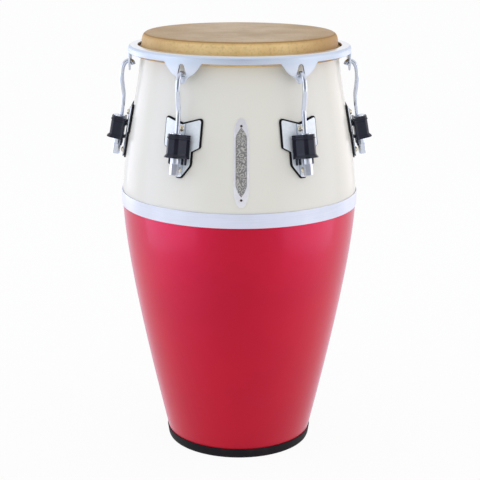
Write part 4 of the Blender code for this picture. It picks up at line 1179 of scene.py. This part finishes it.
# %% The casing's shape
CASING_PLAN = ((-0.0072, 0.0195, 0.0010), (-0.0045, 0.0155, 0.0015), (0.0105, 0.0105, 0.0034), (0.0142, 0.0055, 0.0030))
CASING_BACK_GAP = 0.0024
CASING_EDGE = 0.0007
BEAD_TOP = 0.0040
BEAD_HEIGHT = 0.0028
BEAD_PROUD = 0.0010
GROOVE_DEEP = 0.0004
FLARE_HEIGHT = 0.0065
FLARE_PROUD = 0.0036
LIP_HEIGHT = 0.0016
LEG_LENGTH = 0.0100


def plate_face(depth):
    """Return where the plate's channel lies in the bar's frame at a depth below the casing's top."""
    sine, cosine = math.sin(AXIS_TILT), math.cos(AXIS_TILT)
    out = -0.5 * (AXIS_RADIUS - BEARING_EDGE_RADIUS)
    for _ in range(20):
        height = CASING_TOP + out * sine - depth * cosine
        radius = AXIS_RADIUS + out * cosine + depth * sine
        out += shell_radius(height) + PLATE_FACE + CHANNEL_PROUD + CLEAR - radius
    return out


depths = (0.0, CASING_HEIGHT / 2, CASING_HEIGHT, CASING_HEIGHT + LEG_LENGTH)
CASING_BACK = max(plate_face(depth) for depth in depths) + CASING_BACK_GAP


def casing_rings():
    """Return (depth, how far it stands proud, how far it is drawn in) down the casing."""
    rings = []
    for k in range(5):
        angle = math.pi / 2 * k / 4
        rings.append((CASING_EDGE * (1 - math.cos(angle)), 0.0, CASING_EDGE * (1 - math.sin(angle))))
    rings += [(BEAD_TOP - 0.0012, 0.0, 0.0), (BEAD_TOP - 0.0006, 0.0, GROOVE_DEEP), (BEAD_TOP, 0.0, GROOVE_DEEP)]
    for k in range(7):
        angle = math.pi * k / 6
        rings.append((BEAD_TOP + 0.0002 + BEAD_HEIGHT * k / 6, BEAD_PROUD * math.sin(angle), 0.0))
    foot = BEAD_TOP + BEAD_HEIGHT
    rings += [(foot + 0.0004, 0.0, GROOVE_DEEP), (foot + 0.0010, 0.0, GROOVE_DEEP), (foot + 0.0014, 0.0, 0.0)]
    flare = CASING_HEIGHT - FLARE_HEIGHT
    rings += [(foot + 0.0014 + (flare - foot - 0.0014) * k / 4, 0.0, 0.0) for k in range(1, 5)]
    for k in range(1, 8):
        share = k / 7
        rings.append((flare + (FLARE_HEIGHT - LIP_HEIGHT) * share, FLARE_PROUD * share ** 1.6, 0.0))
    rings += [(CASING_HEIGHT - CASING_EDGE / 2, FLARE_PROUD, 0.0), (CASING_HEIGHT, FLARE_PROUD, CASING_EDGE / 2)]
    return rings


print("casing rings", len(casing_rings()))

# %% The casings
ARM_HALF_WIDTH = 0.0050
UPPER_ARM = (0.0035, 0.0140)
LOWER_ARM = (0.0300, 0.0350)
# Each leg is two ribs with a gap between: from, to, across the casing
LEG_RIBS = ((0.0072, 0.0104), (0.0130, 0.0160))
LEG_THICKNESS = 0.0030
SLEEVE_RADIUS = 0.0062
ARM_EDGE = 0.0006


def casing_ring(depth, proud, drawn_in):
    """Return the casing's plan at a depth as points round it."""
    half = [(CASING_BACK, CASING_PLAN[0][1], 0.0010)] + list(CASING_PLAN)
    plan = rounded(half + [(out, -across, radius) for out, across, radius in half[::-1]])
    nose = CASING_PLAN[-1][0]
    points = []
    for index, (out, across) in enumerate(plan):
        lean = (out - CASING_BACK) / (nose - CASING_BACK)
        after = Vector(plan[(index + 1) % len(plan)]) - Vector(plan[index - 1])
        inward = Vector((-after.y, after.x)).normalized() * -drawn_in
        sideways = proud * (lean * (1 - lean) + 0.3) * math.copysign(min(1.0, abs(across) / CASING_PLAN[-1][1]), across)
        points.append((out + proud * lean + inward.x, across + sideways + inward.y, -depth))
    return points


def loft(rings):
    """Join rings of points into a closed body."""
    bm = bmesh.new()
    loops = [[bm.verts.new(point) for point in ring] for ring in rings]
    for loop, below in zip(loops, loops[1:]):
        for index in range(len(loop)):
            after = (index + 1) % len(loop)
            bm.faces.new((loop[index], loop[after], below[after], below[index]))
    bm.faces.new(loops[0])
    bm.faces.new(loops[-1][::-1])
    return bm


def block(corners, low, high, edge):
    """Return a body with rounded edges whose outline is given in the frame's X and Z, from low to high across."""
    bm = loft([[(out, across, up) for out, up in corners] for across in (low, high)])
    bmesh.ops.bevel(bm, geom=bm.edges[:], offset=edge, segments=2, profile=0.5, affect="EDGES")
    return bm


def gathered(parts):
    """Put several bmeshes into one."""
    whole = bmesh.new()
    for bm in parts:
        mesh = bpy.data.meshes.new("part")
        bm.to_mesh(mesh)
        bm.free()
        whole.from_mesh(mesh)
        bpy.data.meshes.remove(mesh)
    return whole


def casing_parts():
    """Return the casing's body, its two arms to the plate and its two legs."""
    parts = [loft([casing_ring(*ring) for ring in casing_rings()])]
    root = CASING_BACK + 0.002
    for low, high in (UPPER_ARM, LOWER_ARM):
        corners = [(plate_face(low), -low), (root, -low), (root, -high), (plate_face(high), -high)]
        parts.append(block(corners, -ARM_HALF_WIDTH, ARM_HALF_WIDTH, ARM_EDGE))
    top, foot = -CASING_HEIGHT + LEG_THICKNESS, -CASING_HEIGHT - LEG_LENGTH
    face = CASING_BACK + LEG_THICKNESS
    for side in (-1, 1):
        corners = [(CASING_BACK, top), (face, top), (face, foot), (CASING_BACK, foot)]
        for rib in LEG_RIBS:
            low, high = sorted(side * reach for reach in rib)
            parts.append(block(corners, low, high, ARM_EDGE))
    return parts


casing_mesh = mesh_of("lug_casing", gathered(casing_parts()), moulding)
for number, _ in lug_azimuths():
    dress("lug_casing_%d" % number, casing_mesh, matrix=lug_frame(number))
print("casing corners", len(casing_mesh.vertices))

# %% [markdown]
# The steel bush is what the hook runs in. Its flange lies on the casing and takes the pull,
# set a little outward of the bore.

# %% The bushes
BORE_RADIUS = 0.0045
BUSH_FLANGE_RADIUS = 0.0093
BUSH_FLANGE_OFFSET = 0.0022
BUSH_FLANGE_THICKNESS = 0.0015
BUSH_EDGE = 0.0004
BUSH_STEPS = 48


def bush_rings():
    """Return the rings round the bush, from its bore's top, over the flange and down the sleeve."""
    top, low = CLEAR + BUSH_FLANGE_THICKNESS, CLEAR
    sizes = [(BORE_RADIUS, CLEAR - CASING_HEIGHT, 0.0), (BORE_RADIUS, top - BUSH_EDGE, 0.0),
             (BORE_RADIUS + BUSH_EDGE, top, 0.0), (BUSH_FLANGE_RADIUS - BUSH_EDGE, top, 1.0),
             (BUSH_FLANGE_RADIUS, top - BUSH_EDGE, 1.0), (BUSH_FLANGE_RADIUS, low, 1.0),
             (SLEEVE_RADIUS, low, 0.0), (SLEEVE_RADIUS, CLEAR - CASING_HEIGHT, 0.0)]
    rings = []
    for radius, height, aside in sizes:
        rings.append([(aside * BUSH_FLANGE_OFFSET + radius * math.cos(math.tau * k / BUSH_STEPS),
                       radius * math.sin(math.tau * k / BUSH_STEPS), height) for k in range(BUSH_STEPS)])
    return rings


def tube(rings):
    """Join rings of points into a ring-shaped body, the last to the first."""
    bm = bmesh.new()
    loops = [[bm.verts.new(point) for point in ring] for ring in rings]
    for loop, following in zip(loops, loops[1:] + loops[:1]):
        for index in range(len(loop)):
            after = (index + 1) % len(loop)
            bm.faces.new((loop[index], loop[after], following[after], following[index]))
    return bm


bush_mesh = mesh_of("lug_bush", tube(bush_rings()), chrome, crisp=30)
for number, _ in lug_azimuths():
    dress("lug_bush_%d" % number, bush_mesh, matrix=lug_frame(number))
print("bushes", LUG_COUNT)

# %% [markdown]
# The tuning nut has a round collar, which bears on the casing, over a long hexagon for the
# key. The hexagon's foot is turned to a chamfer, which cuts its six corners in arcs. In
# rings, each corner is simply held inside the chamfer's circle at that height.

# %% The nuts
NUT_COLLAR_RADIUS = 0.0070
NUT_ACROSS_FLATS = 0.0128
NUT_CHAMFER = 0.0012
NUT_STEPS = 72
nut_top = -CASING_HEIGHT - CLEAR
nut_shoulder = nut_top - NUT_COLLAR_HEIGHT
nut_foot = nut_shoulder - NUT_HEX_HEIGHT


def hexagon_radius(angle):
    """Return how far a hexagon's side is from its middle at an angle."""
    from_flat = (angle + math.pi / 6) % (math.pi / 3) - math.pi / 6
    return NUT_ACROSS_FLATS / 2 / math.cos(from_flat)


def nut_ring(height, limit, shape):
    """Return a ring of the nut: a circle, or a hexagon held inside a circle."""
    points = []
    for k in range(NUT_STEPS):
        angle = math.tau * k / NUT_STEPS
        radius = min(hexagon_radius(angle + math.pi / 6), limit) if shape == "hexagon" else limit
        points.append((radius * math.cos(angle), radius * math.sin(angle), height))
    return points


corner = NUT_ACROSS_FLATS / math.sqrt(3)
nut_rings = [nut_ring(nut_foot, BORE_RADIUS, "round"), nut_ring(nut_top, BORE_RADIUS, "round"),
             nut_ring(nut_top, NUT_COLLAR_RADIUS - 0.0005, "round"),
             nut_ring(nut_top - 0.0005, NUT_COLLAR_RADIUS, "round"),
             nut_ring(nut_shoulder + 0.0006, NUT_COLLAR_RADIUS, "round"),
             nut_ring(nut_shoulder, NUT_COLLAR_RADIUS - 0.0006, "round"),
             nut_ring(nut_shoulder - 0.0003, corner - 0.0007, "hexagon"),
             nut_ring(nut_shoulder - 0.0010, corner, "hexagon"), nut_ring(nut_foot + NUT_CHAMFER, corner, "hexagon"),
             nut_ring(nut_foot + NUT_CHAMFER / 3, corner - 0.0006, "hexagon"),
             nut_ring(nut_foot, NUT_ACROSS_FLATS / 2 - 0.0004, "hexagon")]
nut_mesh = mesh_of("tuning_nut", tube(nut_rings), nut_steel, crisp=25)
for number, _ in lug_azimuths():
    dress("tuning_nut_%d" % number, nut_mesh, "nut_%d" % number, lug_frame(number))
print("nut", round(1000 * (nut_top - nut_foot), 1), "mm long")

# %% [markdown]
# The hook is one long bar, bent over at its top to catch the ear. A smooth line is drawn
# through a few points of its bend, and a ring is carried along it. The bar is a hair thinner
# than the corners of the solid that it stands for, so that it stays inside it.

# %% The hooks
HOOK_BAR_RADIUS = 0.0037
HOOK_SOLID_RADIUS = 0.0040
HOOK_TAIL = 0.0600
HOOK_STRAIGHT_TOP = 0.0120
HOOK_STEPS = 24
# Offsets from the bar's centre over the ear, outward and up
HOOK_BEND = ((0.0110, -0.0562), (0.0121, -0.0420), (0.0131, -0.0260), (0.0117, -0.0131),
             (0.0099, -0.0077), (0.0074, -0.0036), (0.0043, -0.0010), (0.0010, 0.0000),
             (-0.0025, -0.0006), (-0.0050, -0.0026), (-0.0064, -0.0057))


def hook_line():
    """Return the hook's centre line in its lug's frame, from the tail to the tip."""
    over_ear = (RIM_RADIUS - RIM_THICKNESS / 2, HEIGHT - HOOK_SEAT_DROP + HOOK_SOLID_RADIUS)
    sine, cosine = math.sin(AXIS_TILT), math.cos(AXIS_TILT)
    points = [(0.0, 0.0, -HOOK_TAIL), (0.0, 0.0, -HOOK_TAIL / 2), (0.0, 0.0, 0.0), (0.0, 0.0, HOOK_STRAIGHT_TOP)]
    for outward, up in HOOK_BEND:
        out = over_ear[0] + outward - AXIS_RADIUS
        rise = over_ear[1] + up - CASING_TOP
        points.append((out * cosine + rise * sine, 0.0, rise * cosine - out * sine))
    return curve_through(points, 6)


def swept(line, radius, steps, end_round):
    """Return a round bar along a line, with its two ends rounded off."""
    rings = []
    last = len(line) - 1
    stops = [(0, -end_round * math.cos(math.pi / 2 * k / 4), math.sin(math.pi / 2 * k / 4)) for k in range(1, 4)]
    stops += [(index, 0.0, 1.0) for index in range(len(line))]
    stops += [(last, end_round * math.sin(math.pi / 2 * k / 4), math.cos(math.pi / 2 * k / 4)) for k in range(1, 4)]
    for index, beyond, share in stops:
        along = (line[min(index + 1, last)] - line[max(index - 1, 0)]).normalized()
        side = Vector((0, 1, 0))
        out = along.cross(side)
        width = radius - end_round * (1 - share)
        middle = line[index] + along * beyond
        rings.append([middle + width * (out * math.cos(math.tau * k / steps) + side * math.sin(math.tau * k / steps))
                      for k in range(steps)])
    return loft(rings)


hook_mesh = mesh_of("tuning_hook", swept(hook_line(), HOOK_BAR_RADIUS, HOOK_STEPS, 0.0009), chrome, crisp=60)
for number, _ in lug_azimuths():
    dress("tuning_hook_%d" % number, hook_mesh, "hook_%d" % number, lug_frame(number))
print("hook corners", len(hook_mesh.vertices))

# %% [markdown]
# Two bolts hold each plate: a polished dome outside, and a washer and hexagon nut inside the
# shell, where a look up into the drum finds them.

# %% The bolts
UPPER_BOLT_RISE = 0.0063
LOWER_BOLT_DROP = 0.0567
BOLT_HEAD_RADIUS = 0.0048
BOLT_HEAD_HEIGHT = 0.0036
BOLT_SHANK_RADIUS = 0.0030
BOLT_SEAT_GAP = 0.0009
BOLT_NUT_RADIUS = 0.0055
BOLT_NUT_HEIGHT = 0.0050
WASHER_THICKNESS = 0.0008
BOLT_STEPS = 48


def bolt_mesh(name, height):
    """Return a bolt's mesh, in a frame on its seat with Z along the shell's normal, and the seat's offset."""
    steep = math.cos(math.atan(shell_slope(height)))
    seat = (PLATE_FACE + CHANNEL_PROUD) * steep + CLEAR
    nut_face = -(seat + SHELL_WALL * steep + BOLT_SEAT_GAP)
    profile = dome(BOLT_HEAD_RADIUS, BOLT_HEAD_HEIGHT)[:-1]
    profile += [(BOLT_HEAD_RADIUS, 0.0004), (BOLT_HEAD_RADIUS - 0.0002, 0.0), (BOLT_SHANK_RADIUS, 0.0),
                (BOLT_SHANK_RADIUS, nut_face), (BOLT_NUT_RADIUS, nut_face),
                (BOLT_NUT_RADIUS, nut_face - WASHER_THICKNESS), (BOLT_NUT_RADIUS * 0.86, nut_face - WASHER_THICKNESS),
                (BOLT_NUT_RADIUS * 0.86, nut_face - BOLT_NUT_HEIGHT + 0.0006),
                (BOLT_NUT_RADIUS * 0.75, nut_face - BOLT_NUT_HEIGHT), (0.0, nut_face - BOLT_NUT_HEIGHT)]
    return mesh_of(name, lathe(profile, True, BOLT_STEPS), warm_tinted_bolt_metal), seat


for side, height in (("upper", CASING_TOP + UPPER_BOLT_RISE), ("lower", CASING_TOP - LOWER_BOLT_DROP)):
    bolt, seat = bolt_mesh(side + "_bolt", height)
    for number, azimuth in lug_azimuths():
        dress("%s_bolt_%d" % (side, number), bolt, matrix=surface_frame(azimuth, height, seat))
print("bolts", 2 * LUG_COUNT)
